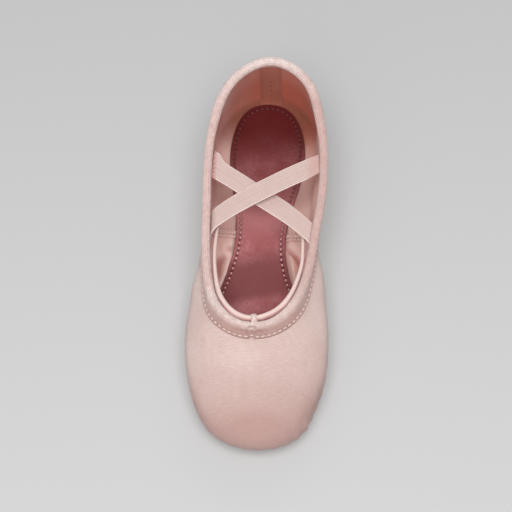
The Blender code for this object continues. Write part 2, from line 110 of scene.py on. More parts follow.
# Lateral end, medial end and bow of each elastic. An end: its y, radius of its fold, how far
# from the wall it swings, by how much, and by how much its front and rear edges do besides
STRAP_OVER = ((14.2, 4.6, 16.0, -1.5, 0.0, 0.0), (50.9, 1.2, 10.0, 0.0, 1.4, 0.0), 3.4)
STRAP_UNDER = ((48.9, 2.2, 12.0, 0.0, -0.8, 3.7), (9.4, 1.5, 20.0, -3.8, 0.0, 0.0), -0.5)
# Where each end is tinted, as seen: on the over strap painted shade where it goes under the binding, on the
# under strap its sewn strip; how far from the leg, softness of the change, and its share
STRAP_OVER_END_SHADE = ((5.0, 3.0, 0.35), (9.5, 2.5, 0.62))
STRAP_UNDER_SEWN = ((5.6, 0.6, 0.95), (3.9, 0.6, 0.90))

# Grids of the visible meshes
AROUND = 480
LOWER_SPANS = 24
WALL_SPANS = 52
BINDING_SPANS = 8
ARCH_SPANS = 14
BINDING_AROUND = 1300
INSOLE_AROUND = 960
INSOLE_SPANS = 26
PATCH_SPANS = 20
ROLL_STEPS = 16
STRAP_RIBS = 8
STRAP_COLUMNS = 61
COARSE = (80, 5, 8, 3)  # the model's own grid of the upper

# The upper's rows, from the heel seam along the lateral side to the toe and back
# along the medial side: x, y and height of the widest outline; x, y and z of the
# canvas edge; lean of the wall there, in degrees; how far the wall stands upright
UPPER_ROWS = (
    (2.4, 118.5, 18.0, 2.8, 116.4, 50.2, 3.0, 0.38),
    (-19.5, 107.2, 17.0, -18.4, 104.6, 48.7, 2.0, 0.38),
    (-30.6, 85.2, 16.0, -28.4, 84.2, 45.3, 0.0, 0.38),
    (-31.6, 58.2, 15.0, -32.0, 58.2, 41.4, 0.0, 0.38),
    (-31.6, 32.2, 14.5, -32.2, 32.2, 38.4, 6.0, 0.40),
    (-34.6, 3.2, 14.0, -31.6, 8.2, 36.2, 4.0, 0.42),
    (-38.9, -28.8, 13.5, -30.1, -15.8, 34.6, 8.0, 0.54),
    (-40.6, -56.8, 13.0, -26.5, -34.3, 33.4, 28.0, 0.58),
    (-36.2, -84.3, 11.5, -19.5, -45.6, 32.9, 60.0, 0.66),
    (-23.0, -109.6, 10.5, -10.6, -51.9, 32.6, 74.0, 0.76),
    (3.2, -118.5, 10.0, -0.9, -53.6, 32.5, 76.0, 0.82),
    (27.2, -109.0, 10.5, 9.0, -51.2, 32.6, 73.0, 0.76),
    (38.2, -84.3, 11.5, 17.8, -44.2, 32.9, 58.0, 0.66),
    (41.0, -56.8, 13.0, 24.8, -33.2, 33.4, 26.0, 0.58),
    (39.0, -28.8, 13.5, 29.9, -15.8, 34.6, 4.0, 0.54),
    (34.2, 3.2, 14.0, 33.2, 8.2, 36.2, 2.0, 0.42),
    (31.0, 32.2, 14.5, 36.2, 32.2, 38.4, 2.0, 0.40),
    (31.8, 58.2, 15.0, 36.4, 58.2, 41.4, 0.0, 0.38),
    (32.6, 85.2, 16.0, 32.8, 84.2, 45.3, 0.0, 0.38),
    (24.2, 107.4, 17.0, 24.0, 105.0, 48.8, 2.0, 0.38),
)

# Edges of the insole and of the two sole patches, in the same order
INSOLE_ROWS = (
    (1.6, 113.2), (-15.0, 104.4), (-21.2, 80.2), (-18.6, 53.2), (-14.9, 24.2), (-19.0, -2.8),
    (-27.0, -28.8), (-30.6, -56.8), (-25.0, -83.8), (3.0, -103.3), (27.6, -82.8), (30.6, -55.8),
    (24.0, -26.8), (15.8, -0.8), (14.9, 25.2), (20.6, 53.2), (23.8, 80.2), (17.4, 104.4),
)
FOREFOOT_ROWS = (
    (-1.0, -6.8), (-17.0, -13.3), (-26.0, -31.8), (-30.0, -58.8), (-24.6, -87.6),
    (3.0, -107.0), (27.4, -86.2), (30.0, -56.8), (24.5, -30.8), (15.0, -13.3),
)
HEEL_ROWS = (
    (1.6, 107.2), (-13.6, 100.2), (-19.6, 81.2), (-12.6, 62.7),
    (1.2, 57.2), (14.6, 62.7), (22.0, 81.2), (16.6, 100.2),
)

# Soft creases of the canvas. Each: points along it, half width, depth (a ridge is negative)
OUTER_CREASES = (
    # dent below the binding on the lateral joint, and the fuller place in front of it
    (((-31.0, 6.0, 25.0), (-35.0, -4.0, 24.0), (-38.5, -11.0, 17.0)), 5.0, 0.9),
    (((-33.0, -14.0, 27.0), (-37.0, -19.0, 22.0), (-40.0, -26.0, 14.0)), 6.0, -0.6),
    # the same on the medial joint, which bulges
    (((33.0, 9.0, 27.0), (35.0, 2.0, 22.0), (36.0, -2.0, 14.0)), 4.0, 0.5),
    (((34.0, -4.0, 25.0), (36.0, -14.0, 22.0), (38.5, -24.0, 17.0)), 7.0, -1.1),
    # broad dent on the medial side of the toe, the ridge above it and the dent below
    (((36.5, -93.5, 12.0), (33.0, -99.0, 15.5), (27.0, -104.0, 18.0), (19.0, -106.0, 21.0)), 4.6, 1.1),
    (((22.0, -90.6, 25.0), (26.6, -91.8, 23.4), (30.2, -93.2, 21.4), (34.6, -94.6, 16.0)), 1.2, -0.58),
    (((38.6, -80.0, 14.0), (38.0, -90.0, 12.0), (35.5, -98.0, 11.0), (30.0, -105.0, 10.0)), 5.0, 1.5),
    # slack of the vamp
    (((-26.0, -52.0, 31.0), (-30.0, -66.0, 27.0), (-31.0, -80.0, 22.0)), 7.0, 0.6),
    (((24.0, -50.0, 31.0), (30.0, -62.0, 27.0), (34.0, -70.0, 22.0)), 6.0, 0.6),
    (((-12.0, -66.0, 32.0), (4.0, -70.0, 31.0), (18.0, -66.0, 31.0)), 6.0, 0.4),
    (((-20.0, -70.0, 30.0), (-10.0, -79.0, 29.0), (2.0, -84.0, 28.0)), 5.0, 0.30),
    (((10.0, -78.0, 29.0), (20.0, -82.0, 27.0), (28.0, -80.0, 24.0)), 5.0, 0.35),
    (((-27.0, -88.0, 24.0), (-17.0, -95.0, 25.0), (-7.0, -99.0, 25.0)), 5.0, 0.35),
    # quarters
    (((-31.5, 52.0, 30.0), (-32.0, 44.0, 22.0), (-31.5, 40.0, 13.0)), 6.0, 0.7),
    (((-30.8, 74.0, 32.0), (-31.4, 70.0, 22.0), (-30.8, 70.0, 12.0)), 6.0, 0.5),
    (((34.5, 56.0, 30.0), (33.0, 46.0, 22.0), (31.5, 41.0, 13.0)), 6.0, 0.7),
    (((33.0, 80.0, 33.0), (33.0, 75.0, 23.0), (32.4, 73.0, 13.0)), 6.0, 0.5),
    (((-10.0, 114.0, 32.0), (-14.0, 112.0, 22.0), (-15.0, 110.0, 12.0)), 5.0, 0.4),
    (((15.0, 113.0, 32.0), (18.0, 111.0, 22.0), (19.0, 109.0, 12.0)), 5.0, 0.4),
)
LINING_CREASES = (
    # slack gathered beside the insole, lateral side: a bump, the hollow beside it, the
    # fold that runs forward and the ridge along the insole
    (((-22.6, 16.0, 8.0), (-21.8, 11.5, 8.0), (-22.2, 6.6, 7.0)), 2.7, -1.8),
    (((-18.4, 13.6, 7.0), (-18.7, 11.2, 7.0), (-18.7, 9.0, 6.5)), 1.5, 2.3),
    (((-19.6, 5.6, 6.5), (-23.0, 4.2, 6.0), (-24.6, 0.0, 5.4), (-24.5, -5.0, 4.8),
      (-24.4, -11.0, 5.0)), 2.1, 3.0),
    (((-15.8, 8.8, 6.0), (-18.2, 1.4, 5.0), (-20.4, -5.0, 4.6), (-23.4, -12.0, 4.6)), 1.8, -1.4),
    # medial side: one sharp slanting fold between two slack places
    (((14.6, 12.4, 7.0), (17.6, 9.2, 6.6), (20.8, 5.6, 6.0), (22.9, 1.2, 5.8), (22.4, -2.6, 5.8)), 1.35, 3.0),
    (((15.8, 17.0, 8.0), (19.6, 14.6, 8.6), (24.0, 10.4, 9.0)), 2.8, -1.3),
    (((15.6, 8.4, 6.6), (17.6, 2.6, 6.6), (19.2, -2.7, 5.9), (20.6, -8.0, 5.0)), 2.2, -1.6),
    (((22.8, -0.5, 6.0), (21.8, -4.4, 5.6), (20.6, -9.0, 5.0)), 1.3, 1.4),
    # slack behind the drawcord
    (((-24.0, 2.0, 12.0), (-28.5, -2.0, 17.0), (-31.0, -3.0, 27.0)), 3.0, 1.2),
    (((24.0, 6.0, 12.0), (29.5, 3.0, 18.0), (32.0, 1.0, 27.0)), 3.0, 1.2),
    # quarters and heel
    (((-22.0, 60.0, 7.0), (-27.5, 58.0, 12.0), (-30.0, 60.0, 28.0)), 4.0, 0.9),
    (((-22.0, 74.0, 7.0), (-27.0, 76.0, 13.0), (-28.0, 80.0, 30.0)), 4.0, -0.7),
    (((24.0, 62.0, 7.0), (29.0, 60.0, 12.0), (33.0, 60.0, 28.0)), 4.0, 0.9),
    (((25.0, 76.0, 7.0), (29.5, 78.0, 13.0), (31.0, 84.0, 30.0)), 4.0, -0.7),
    (((-22.0, 94.0, 8.0), (-25.0, 92.0, 16.0), (-25.0, 90.0, 32.0)), 4.5, 0.8),
    (((24.0, 96.0, 8.0), (28.0, 94.0, 16.0), (29.0, 92.0, 32.0)), 4.5, 0.8),
)

# Gathers where the canvas turns under the toe: distance along the outline from the
# tip (medial is positive), half width, depth, and how far each climbs the wall
TOE_PLEATS = (
    (-62.0, 1.8, 0.10, 4.0), (-53.0, 1.9, 0.12, 4.0), (-44.5, 1.7, 0.14, 4.5),
    (-36.0, 1.8, 0.16, 5.0), (-28.5, 1.6, 0.18, 5.0), (-20.0, 1.8, 0.22, 5.5),
    (-11.5, 1.7, 0.20, 4.5), (-3.0, 1.8, 0.20, 4.0), (5.5, 1.7, 0.22, 4.0),
    (13.0, 1.7, 0.34, 5.5), (20.0, 1.8, 0.42, 6.5), (27.5, 2.0, 0.46, 7.0),
    (35.0, 1.9, 0.50, 7.5), (42.5, 2.1, 0.42, 7.0), (50.5, 1.9, 0.30, 6.0),
    (59.0, 1.8, 0.24, 5.0), (68.0, 1.8, 0.20, 4.0),
)

# Colours, linear
CANVAS_PALE = (0.865, 0.69, 0.64)
CANVAS_DEEP_AND_SHADE = (0.55, 0.345, 0.31)
CANVAS_SLUB = (0.96, 0.80, 0.74)
CANVAS_FLECK = (0.95, 0.79, 0.73)
LINING_PALE = (0.93, 0.66, 0.60)
LINING_DEEP_AND_SHADE = (0.64, 0.18, 0.115)
LINING_LOW_SHADE = (0.27, 0.095, 0.062)
LINING_FOLD_SHADE = (0.40, 0.14, 0.12)
BINDING_FACE = (0.78, 0.54, 0.485)
BINDING_THROAT = (0.58, 0.38, 0.345)
BINDING_BRUSHED_AND_LIT = (0.87, 0.65, 0.61)
BINDING_HEEL_HIGHLIGHT = (0.99, 0.86, 0.81)
BINDING_DEEP_AND_SHADE = (0.50, 0.27, 0.235)
BINDING_PIT_SHADE = (0.30, 0.14, 0.12)
SUEDE_PALE = (0.52, 0.225, 0.235)
SUEDE_DEEP = (0.36, 0.11, 0.115)
SUEDE_PIT = (0.085, 0.012, 0.016)
SUEDE_SHADED = (0.092, 0.004, 0.004)
SOLE_PALE = (0.60, 0.44, 0.38)
SOLE_DEEP = (0.46, 0.31, 0.26)
SOLE_PIT = (0.20, 0.11, 0.09)
ELASTIC_RIB = (0.775, 0.60, 0.56)
ELASTIC_VALLEY = (0.47, 0.31, 0.27)
ELASTIC_EDGE = (0.96, 0.79, 0.735)
ELASTIC_SEWN_AND_SHADE = (0.66, 0.40, 0.365)
CORD_PALE = (0.95, 0.76, 0.70)
CORD_PINK_SHADE = (0.60, 0.315, 0.30)
THREAD_PALE = (0.98, 0.80, 0.745)
THREAD_ROSE = (0.86, 0.50, 0.49)
THREAD_ROSE_HEEL_SHADE = (0.15, 0.035, 0.035)
THREAD_SEAM = (1.0, 0.76, 0.72)
THREAD_DEEP = (0.20, 0.07, 0.055)
THREAD_SHADOW = (0.55, 0.29, 0.26)
THREAD_SEWN = (0.50, 0.17, 0.155)
THREAD_TWIST = (0.30, 0.12, 0.11)
# The floor is paler near the camera and darker far off: painted fall-off of light
FLOOR_NEAR = (0.50, 0.50, 0.50)
FLOOR_FAR = (0.43, 0.43, 0.435)
FLOOR_GLOW = 0.125      # the sweep's own light, which keeps the shadow pale

# Stitching
BINDING_PITCH = 3.2
BINDING_GROOVE = 1.2    # distance of the stitches' groove from the binding's edge
BINDING_PITS = 1.95     # distance of the puckers beside it
INSOLE_PITCH = 3.4
INSOLE_STITCH_IN = 2.5
PATCH_PITCH = 2.6
PATCH_STITCH_IN = 2.0
OUTER_PITCH = 2.3
OUTER_ROW = 1.15        # distance of each row outside from the vamp seam
BACK_SEAM_ROWS = (0.9, 3.9)
SEAM_Y = (21.3, 19.3)   # lateral and medial
# Rows of the side seams inside: distance forward or back of the seam, and the stitches'
# pitch, length, width and rise there
SEAM_PALE_ROWS = (
    (1.4, 2.2, 1.70, 1.15, 0.40), (-1.6, 2.2, 1.70, 1.20, 0.45), (0.65, 0.8, 1.2, 0.80, 0.16),
)
# The dark rows are partly needle marks and partly painted shade along the seam's fold
SEAM_DARK_ROWS = (
    (-0.45, 0.8, 1.2, 0.34, 0.05), (3.0, 2.2, 0.8, 0.50, 0.0), (-2.9, 1.1, 1.2, 0.40, 0.0),
)
THROAT_X = -1.9         # middle of the throat
TAPE_X = 2.4            # middle of the heel
TAPE_WIDTH = 13.5
TAPE_COLUMNS = 29


# ---------------------------------------------------------------- curves and grids

def closed_spline(points, samples):
    """A smooth closed curve through points (rows x columns), even in row number."""
    points = np.asarray(points, float)
    count = len(points)
    rise = np.roll(points, -1, 0) - np.roll(points, 1, 0)
    system = 4.0 * np.eye(count) + np.roll(np.eye(count), 1, 1) + np.roll(np.eye(count), -1, 1)
    slopes = np.linalg.solve(system, 3.0 * rise)
    at = np.arange(samples) * count / samples
    row = at.astype(int) % count
    nearby = (row + 1) % count
    t = (at - at.astype(int))[:, None]
    return (
        (2 * t ** 3 - 3 * t ** 2 + 1) * points[row]
        + (t ** 3 - 2 * t ** 2 + t) * slopes[row]
        + (3 * t ** 2 - 2 * t ** 3) * points[nearby]
        + (t ** 3 - t ** 2) * slopes[nearby]
    )


def ringed(line):
    """A closed curve's points with the first repeated at the end."""
    return np.concatenate((line, line[:1]))


def unit(vectors):
    """Each vector at length 1."""
    return vectors / np.linalg.norm(vectors, axis=-1, keepdims=True)


def inward_normal(curve):
    """The level normal that points into a closed curve, at each of its points."""
    along = np.roll(curve, -1, 0) - np.roll(curve, 1, 0)
    normal = np.stack((-along[:, 1], along[:, 0], np.zeros(len(curve))), 1)
    if np.sum(normal[:, :2] * (curve.mean(0) - curve)[:, :2]) < 0.0:
        normal = -normal
    return unit(normal)


def ground(y):
    """Height of the underside over the floor plane, along the length."""
    y = np.asarray(y, float)
    into_arch = np.clip(np.abs(y - ARCH_MIDDLE) / ARCH_REACH, 0.0, 1.0)
    arch = ARCH_RISE * np.cos(into_arch * math.pi / 2) ** 2
    toe = np.clip((SPRING_START - y) / (SPRING_START + LENGTH / 2), 0.0, None)
    return arch + TOE_SPRING * toe ** 2


def bezier(start, first, second, end, count):
    """count + 1 points of a cubic curve, for rows of control points."""
    t = np.linspace(0.0, 1.0, count + 1)[:, None, None]
    return (
        (1 - t) ** 3 * start + 3 * (1 - t) ** 2 * t * first
        + 3 * (1 - t) * t ** 2 * second + t ** 3 * end
    )


def lengths_along(line):
    """Distance run along a polyline, at each of its points."""
    steps = np.linalg.norm(np.diff(line, axis=0), axis=1)
    return np.concatenate(((0.0,), np.cumsum(steps)))


def resample(line, distances):
    """Values of a polyline's columns at the given distances along it."""
    run = lengths_along(line[:, :3])
    return np.stack([np.interp(distances, run, line[:, axis]) for axis in range(line.shape[1])], 1)


def smooth_line(points, samples):
    """A smooth open curve through a few points, by Catmull-Rom spans."""
    points = np.asarray(points, float)
    ends = np.concatenate((2 * points[:1] - points[1:2], points, 2 * points[-1:] - points[-2:-1]))
    at = np.linspace(0.0, len(points) - 1 - 1e-9, samples)
    span = at.astype(int)
    t = (at - span)[:, None]
    a, b, c, d = (ends[span + step] for step in range(4))
    return b + 0.5 * t * (c - a + t * (2 * a - 5 * b + 4 * c - d + t * (3 * (b - c) + d - a)))


def smoothstep(low, high, value):
    """0 below low, 1 above high and a soft turn between."""
    t = np.clip((np.asarray(value, float) - low) / (high - low), 0.0, 1.0)
    return t * t * (3.0 - 2.0 * t)


def bell(value, middle, width):
    """1 at the middle, falling off softly within about a width of it."""
    return np.exp(-((value - middle) / width) ** 2)


def ripple(place, wavelength, seed):
    """A soft wave of mixed lengths, from -1 to 1, the same each run."""
    total = np.zeros(np.shape(place))
    for step in range(1, 6):
        phase = math.sin(seed * 12.9898 + step * 78.233) * 43.7
        total += np.sin(2 * math.pi * place / (wavelength * (0.55 + 0.31 * step)) + phase)
    return total / 5.0


class Skin:
    """The canvas as levels x around points, from the turned-in edge to the opening."""

    def __init__(self, around, lower_spans, wall_spans, edge_spans):
        table = closed_spline(UPPER_ROWS, around)
        outline, top = table[:, 0:3], table[:, 3:6]
        lean, full = np.radians(table[:, 6:7]), table[:, 7:8]
        under = inward_normal(outline)
        bottom = outline + UNDERWRAP * under
        bottom[:, 2] = SOLE_THICKNESS + SEAT + ground(bottom[:, 1])
        turned = bottom - TURN_FLAT * UNDERWRAP * under
        turned[:, 2] = SOLE_THICKNESS + SEAT + ground(turned[:, 1])
        drop = outline[:, 2:3] - turned[:, 2:3]
        lower = bezier(bottom, turned, outline - TURN_UPRIGHT * drop * UP, outline, 60)
        rise = top[:, 2:3] - outline[:, 2:3]
        reach = np.linalg.norm(top - outline, axis=1, keepdims=True)
        slope = np.cos(lean) * UP + np.sin(lean) * inward_normal(top)
        wall = bezier(outline, outline + full * rise * UP, top - END_HANDLE * reach * slope, top, 160)

        columns, heights = [], []
        for low, high in zip(lower.swapaxes(0, 1), wall.swapaxes(0, 1)):
            low_length = lengths_along(low)[-1]
            high_length = lengths_along(high)[-1]
            low_marks = np.linspace(0.0, low_length, lower_spans + 1)[:-1]
            body = np.linspace(0.0, high_length - BINDING_DEPTH, wall_spans + 1)[:-1]
            edge = np.linspace(high_length - BINDING_DEPTH, high_length, edge_spans + 1)
            high_marks = np.concatenate((body, edge))
            columns.append(np.concatenate((resample(low, low_marks), resample(high, high_marks))))
            heights.append(np.concatenate((low_marks - low_length, high_marks)))
        self.around = around
        self.points = np.stack(columns, 1)
        self.height = np.stack(heights, 1)      # along the wall from the widest outline
        self.normals = self.facing(self.points)
        to_top = (self.height[-1] - self.height)[..., None]
        self.flat = top[:, :2] - inward_normal(top)[:, :2] * to_top     # place on the flat cloth
        run = lengths_along(ringed(outline))[:-1]
        self.from_tip = run - run[around // 2]  # along the outline from the toe's tip

    @staticmethod
    def facing(points):
        """Outward normals of a closed grid."""
        side = np.roll(points, -1, 1) - np.roll(points, 1, 1)
        climb = np.gradient(points, axis=0)
        normals = unit(np.cross(climb, side))
        middle = points.shape[0] // 3
        if np.sum(normals[middle] * (points[middle] - points[middle].mean(0))) < 0.0:
            normals = -normals
        return normals

    def slope(self):
        """Unit direction in which the wall ends at the opening."""
        return unit(self.points[-1] - self.points[-2])


def creased(points, creases, upright=1.0):
    """How deep the creases press into each point; upright is the weight of heights."""
    weight = np.array((1.0, 1.0, upright))
    depth = np.zeros(points.shape[:-1])
    for path, half_width, deep in creases:
        line = smooth_line(path, 33)
        apart = np.linalg.norm((points[..., None, :] - line) * weight, axis=-1)
        nearest = apart.argmin(-1)
        taper = np.sin(math.pi * (nearest + 0.5) / len(line)) ** 0.7
        depth += deep * taper * np.exp(-(apart.min(-1) / half_width) ** 2)
    return depth


def pleated(skin):
    """How deep the toe's gathers press into each point of a skin."""
    depth = np.zeros(skin.height.shape)
    for place, half_width, deep, climb in TOE_PLEATS:
        lean = place + 0.10 * np.clip(skin.height, 0.0, None) * np.sign(place)
        apart = (skin.from_tip[None, :] - lean) / half_width
        trough = np.exp(-apart ** 2) - 0.45 * np.exp(-((np.abs(apart) - 2.0) / 0.9) ** 2)
        upper_fade = 1.0 - smoothstep(0.15 * climb, climb, skin.height)
        depth += deep * trough * upper_fade
    return depth


# ---------------------------------------------------------------- meshes

def make_piece(name, points, faces, replaced, material, cloth=None, tags=None):
    """A smooth mesh piece of the shoe, from points in millimetres.

    replaced is the CAD node that it stands for, if any. cloth holds the place on the flat
    cloth of each point or each face corner, and tags holds named values for each point.
    """
    mesh = bpy.data.meshes.new(name)
    mesh.from_pydata((np.asarray(points) * MM).tolist(), [], faces)
    mesh.shade_smooth()
    if cloth is not None:
        corners = np.asarray(cloth, np.float32)
        if len(corners) == len(mesh.vertices):
            owners = np.empty(len(mesh.loops), np.int32)
            mesh.loops.foreach_get("vertex_index", owners)
            corners = corners[owners]
        mesh.uv_layers.new(name="cloth").data.foreach_set("uv", corners.ravel())
    for tag, values in (tags or {}).items():
        attribute = mesh.attributes.new(tag, "FLOAT", "POINT")
        attribute.data.foreach_set("value", np.asarray(values, np.float32).ravel())
    mesh.materials.append(material)
    piece = bpy.data.objects.new(name, mesh)
    bpy.context.scene.collection.objects.link(piece)
    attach(piece, "root")
    if replaced:
        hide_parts(replaced)
    return piece


def grid_faces(rows, columns, ring=True, flip=False):
    """Quads of a grid whose points are numbered row by row; a ring's rows close on themselves."""
    spans = columns if ring else columns - 1
    row, column = np.meshgrid(np.arange(rows - 1), np.arange(spans), indexing="ij")
    after = (column + 1) % columns
    corners = [row * columns + column, row * columns + after,
               (row + 1) * columns + after, (row + 1) * columns + column]
    if flip:
        corners.reverse()
    return np.stack(corners, -1).reshape(-1, 4).tolist()


def tree_of(piece):
    """A search tree of a piece's faces, in millimetres."""
    mesh = piece.data
    points = np.empty(len(mesh.vertices) * 3)
    mesh.vertices.foreach_get("co", points)
    points = points.reshape(-1, 3) / MM
    faces = [tuple(face.vertices) for face in mesh.polygons]
    return BVHTree.FromPolygons([Vector(point) for point in points], faces)


def traced(tree, starts, headings):
    """Where rays meet a piece, with the facings there; a ray that misses gives no point."""
    starts = np.asarray(starts, float)
    places, facings = [], []
    for start, heading in zip(starts, np.broadcast_to(headings, starts.shape)):
        place, facing, _, _ = tree.ray_cast(Vector(start), Vector(heading))
        if place is None:
            continue
        if facing.dot(Vector(heading)) > 0.0:
            facing = -facing
        places.append(tuple(place))
        facings.append(tuple(facing))
    return np.array(places), np.array(facings)


def stitch_template():
    """Points on a unit capsule along x, and its faces: one thread stitch."""
    stations = ((-1.0, 0.0), (-0.86, 0.55), (-0.5, 0.92), (0.0, 1.0), (0.5, 0.92), (0.86, 0.55), (1.0, 0.0))
    sides = 6
    angles = 2 * math.pi * np.arange(sides) / sides
    points = [
        (x, radius * math.cos(angle), radius * math.sin(angle)) for x, radius in stations for angle in angles
    ]
    return np.array(points), np.array(grid_faces(len(stations), sides))


def stitches(name, run, length, width, rise, material, slot="canvas"):
    """A run of thread stitches, half sunk in the cloth, as one piece."""
    template, faces = stitch_template()
    places, headings, facings = (np.asarray(item, float) for item in run)
    headings = unit(headings - np.sum(headings * facings, 1, keepdims=True) * facings)
    points = (
        places[:, None] + facings[:, None] * rise
        + template[None, :, 0:1] * (length / 2 * headings[:, None])
        + template[None, :, 1:2] * (width / 2 * np.cross(facings, headings)[:, None])
        + template[None, :, 2:3] * (width / 2 * facings[:, None])
    )
    first = len(template) * np.arange(len(places))
    all_faces = (faces + first[:, None, None]).reshape(-1, 4).tolist()
    return make_piece(name, points.reshape(-1, 3), all_faces, None, material)


def even_marks(line, pitch=None, start=0.0, count=None):
    """Distances along a line for a count of stitches, or at an even pitch near the one asked for."""
    total = lengths_along(line)[-1] - 2 * start
    count = count or max(1, round(total / pitch))
    return start + (np.arange(count) + 0.5) * total / count


def stitch_run(line, facings, marks, reach=0.05):
    """Places, headings and facings of stitches at distances along a line."""
    known = np.column_stack((line, np.broadcast_to(facings, line.shape)))
    at = resample(known, marks)
    headings = resample(line, marks + reach) - resample(line, marks - reach)
    return at[:, :3], headings, unit(at[:, 3:])


def joined(runs):
    """Several runs of stitches as one."""
    return [np.concatenate(parts) for parts in zip(*runs)]


def shell(outer, inner, faces):
    """Close a sheet: its outer faces, its inner faces and a rim along every edge."""
    count = len(outer)
    edges = set()
    for face in faces:
        edges.update(zip(face, (*face[1:], face[0])))
    closed = [tuple(face) for face in faces]
    closed += [tuple(count + corner for corner in reversed(face)) for face in faces]
    closed += [
        (end, start, count + start, count + end)
        for start, end in sorted(edges) if (end, start) not in edges
    ]
    return np.concatenate((outer, inner)), closed


def slab(upper, lower):
    """Points and faces of a strip between two open grids."""
    return shell(upper.reshape(-1, 3), lower.reshape(-1, 3), grid_faces(*upper.shape[:2], ring=False))


def tube(sections):
    """Points and faces of a tube through closed sections, with its two ends."""
    rows, size = sections.shape[:2]
    faces = grid_faces(rows, size)
    faces.append(tuple(range(size))[::-1])
    faces.append(tuple((rows - 1) * size + corner for corner in range(size)))
    return sections.reshape(-1, 3), faces


def panel(rings, spans, level, flip=False):
    """Points and faces of a flat piece: its rings from the edge inward, then rows across.

    level gives the heights of points inside the innermost ring.
    """
    count, around = rings.shape[:2]
    half = around // 2
    inner = rings[-1]
    share = (np.arange(1, spans) / spans)[:, None]
    strip = np.concatenate([
        inner[index] + (inner[-index] - inner[index]) * share for index in range(1, half)
    ])
    strip[:, 2] = level(strip)
    faces = grid_faces(count, around, flip=flip)
    last, base = (count - 1) * around, count * around
    rows = [[last] * (spans + 1)]
    for index in range(half - 1):
        first = base + index * (spans - 1)
        rows.append([last + index + 1, *range(first, first + spans - 1), last + around - index - 1])
    rows.append([last + half] * (spans + 1))
    for first, second in zip(rows, rows[1:]):
        for step in range(spans):
            corners = [first[step], second[step], second[step + 1], first[step + 1]]
            faces.append(tuple(dict.fromkeys(corners[::-1] if flip else corners)))
    return np.concatenate((rings.reshape(-1, 3), strip)), faces


def stitched_rings(rows, around, insets, pitch):
    """Rings inside a flat piece's outline, how many stitches go round it, and their beat.

    The beat runs from 0 to 1 and back along the outline, once for each stitch.
    """
    outline = closed_spline([(*row, 0.0) for row in rows], around)
    inward = inward_normal(outline)
    rings = np.array([outline + inset * inward for inset in insets])
    run = lengths_along(ringed(outline))
    count = round(run[-1] / pitch)
    return rings, count, 0.5 - 0.5 * np.cos(2 * math.pi * run[:-1] / (run[-1] / count))


def cloth_grid(along, across):
    """Places on the flat cloth of a grid's points, row by row."""
    return np.stack((np.repeat(along, len(across)), np.tile(across, len(along))), 1)


def strung(*parts):
    """Arrays of values as one long row."""
    return np.concatenate([part.ravel() for part in parts])


def padded(values, count):
    """Values as one long row, with zeros after them."""
    return np.pad(values.ravel(), (0, count - values.size))


# ---------------------------------------------------------------- finishes

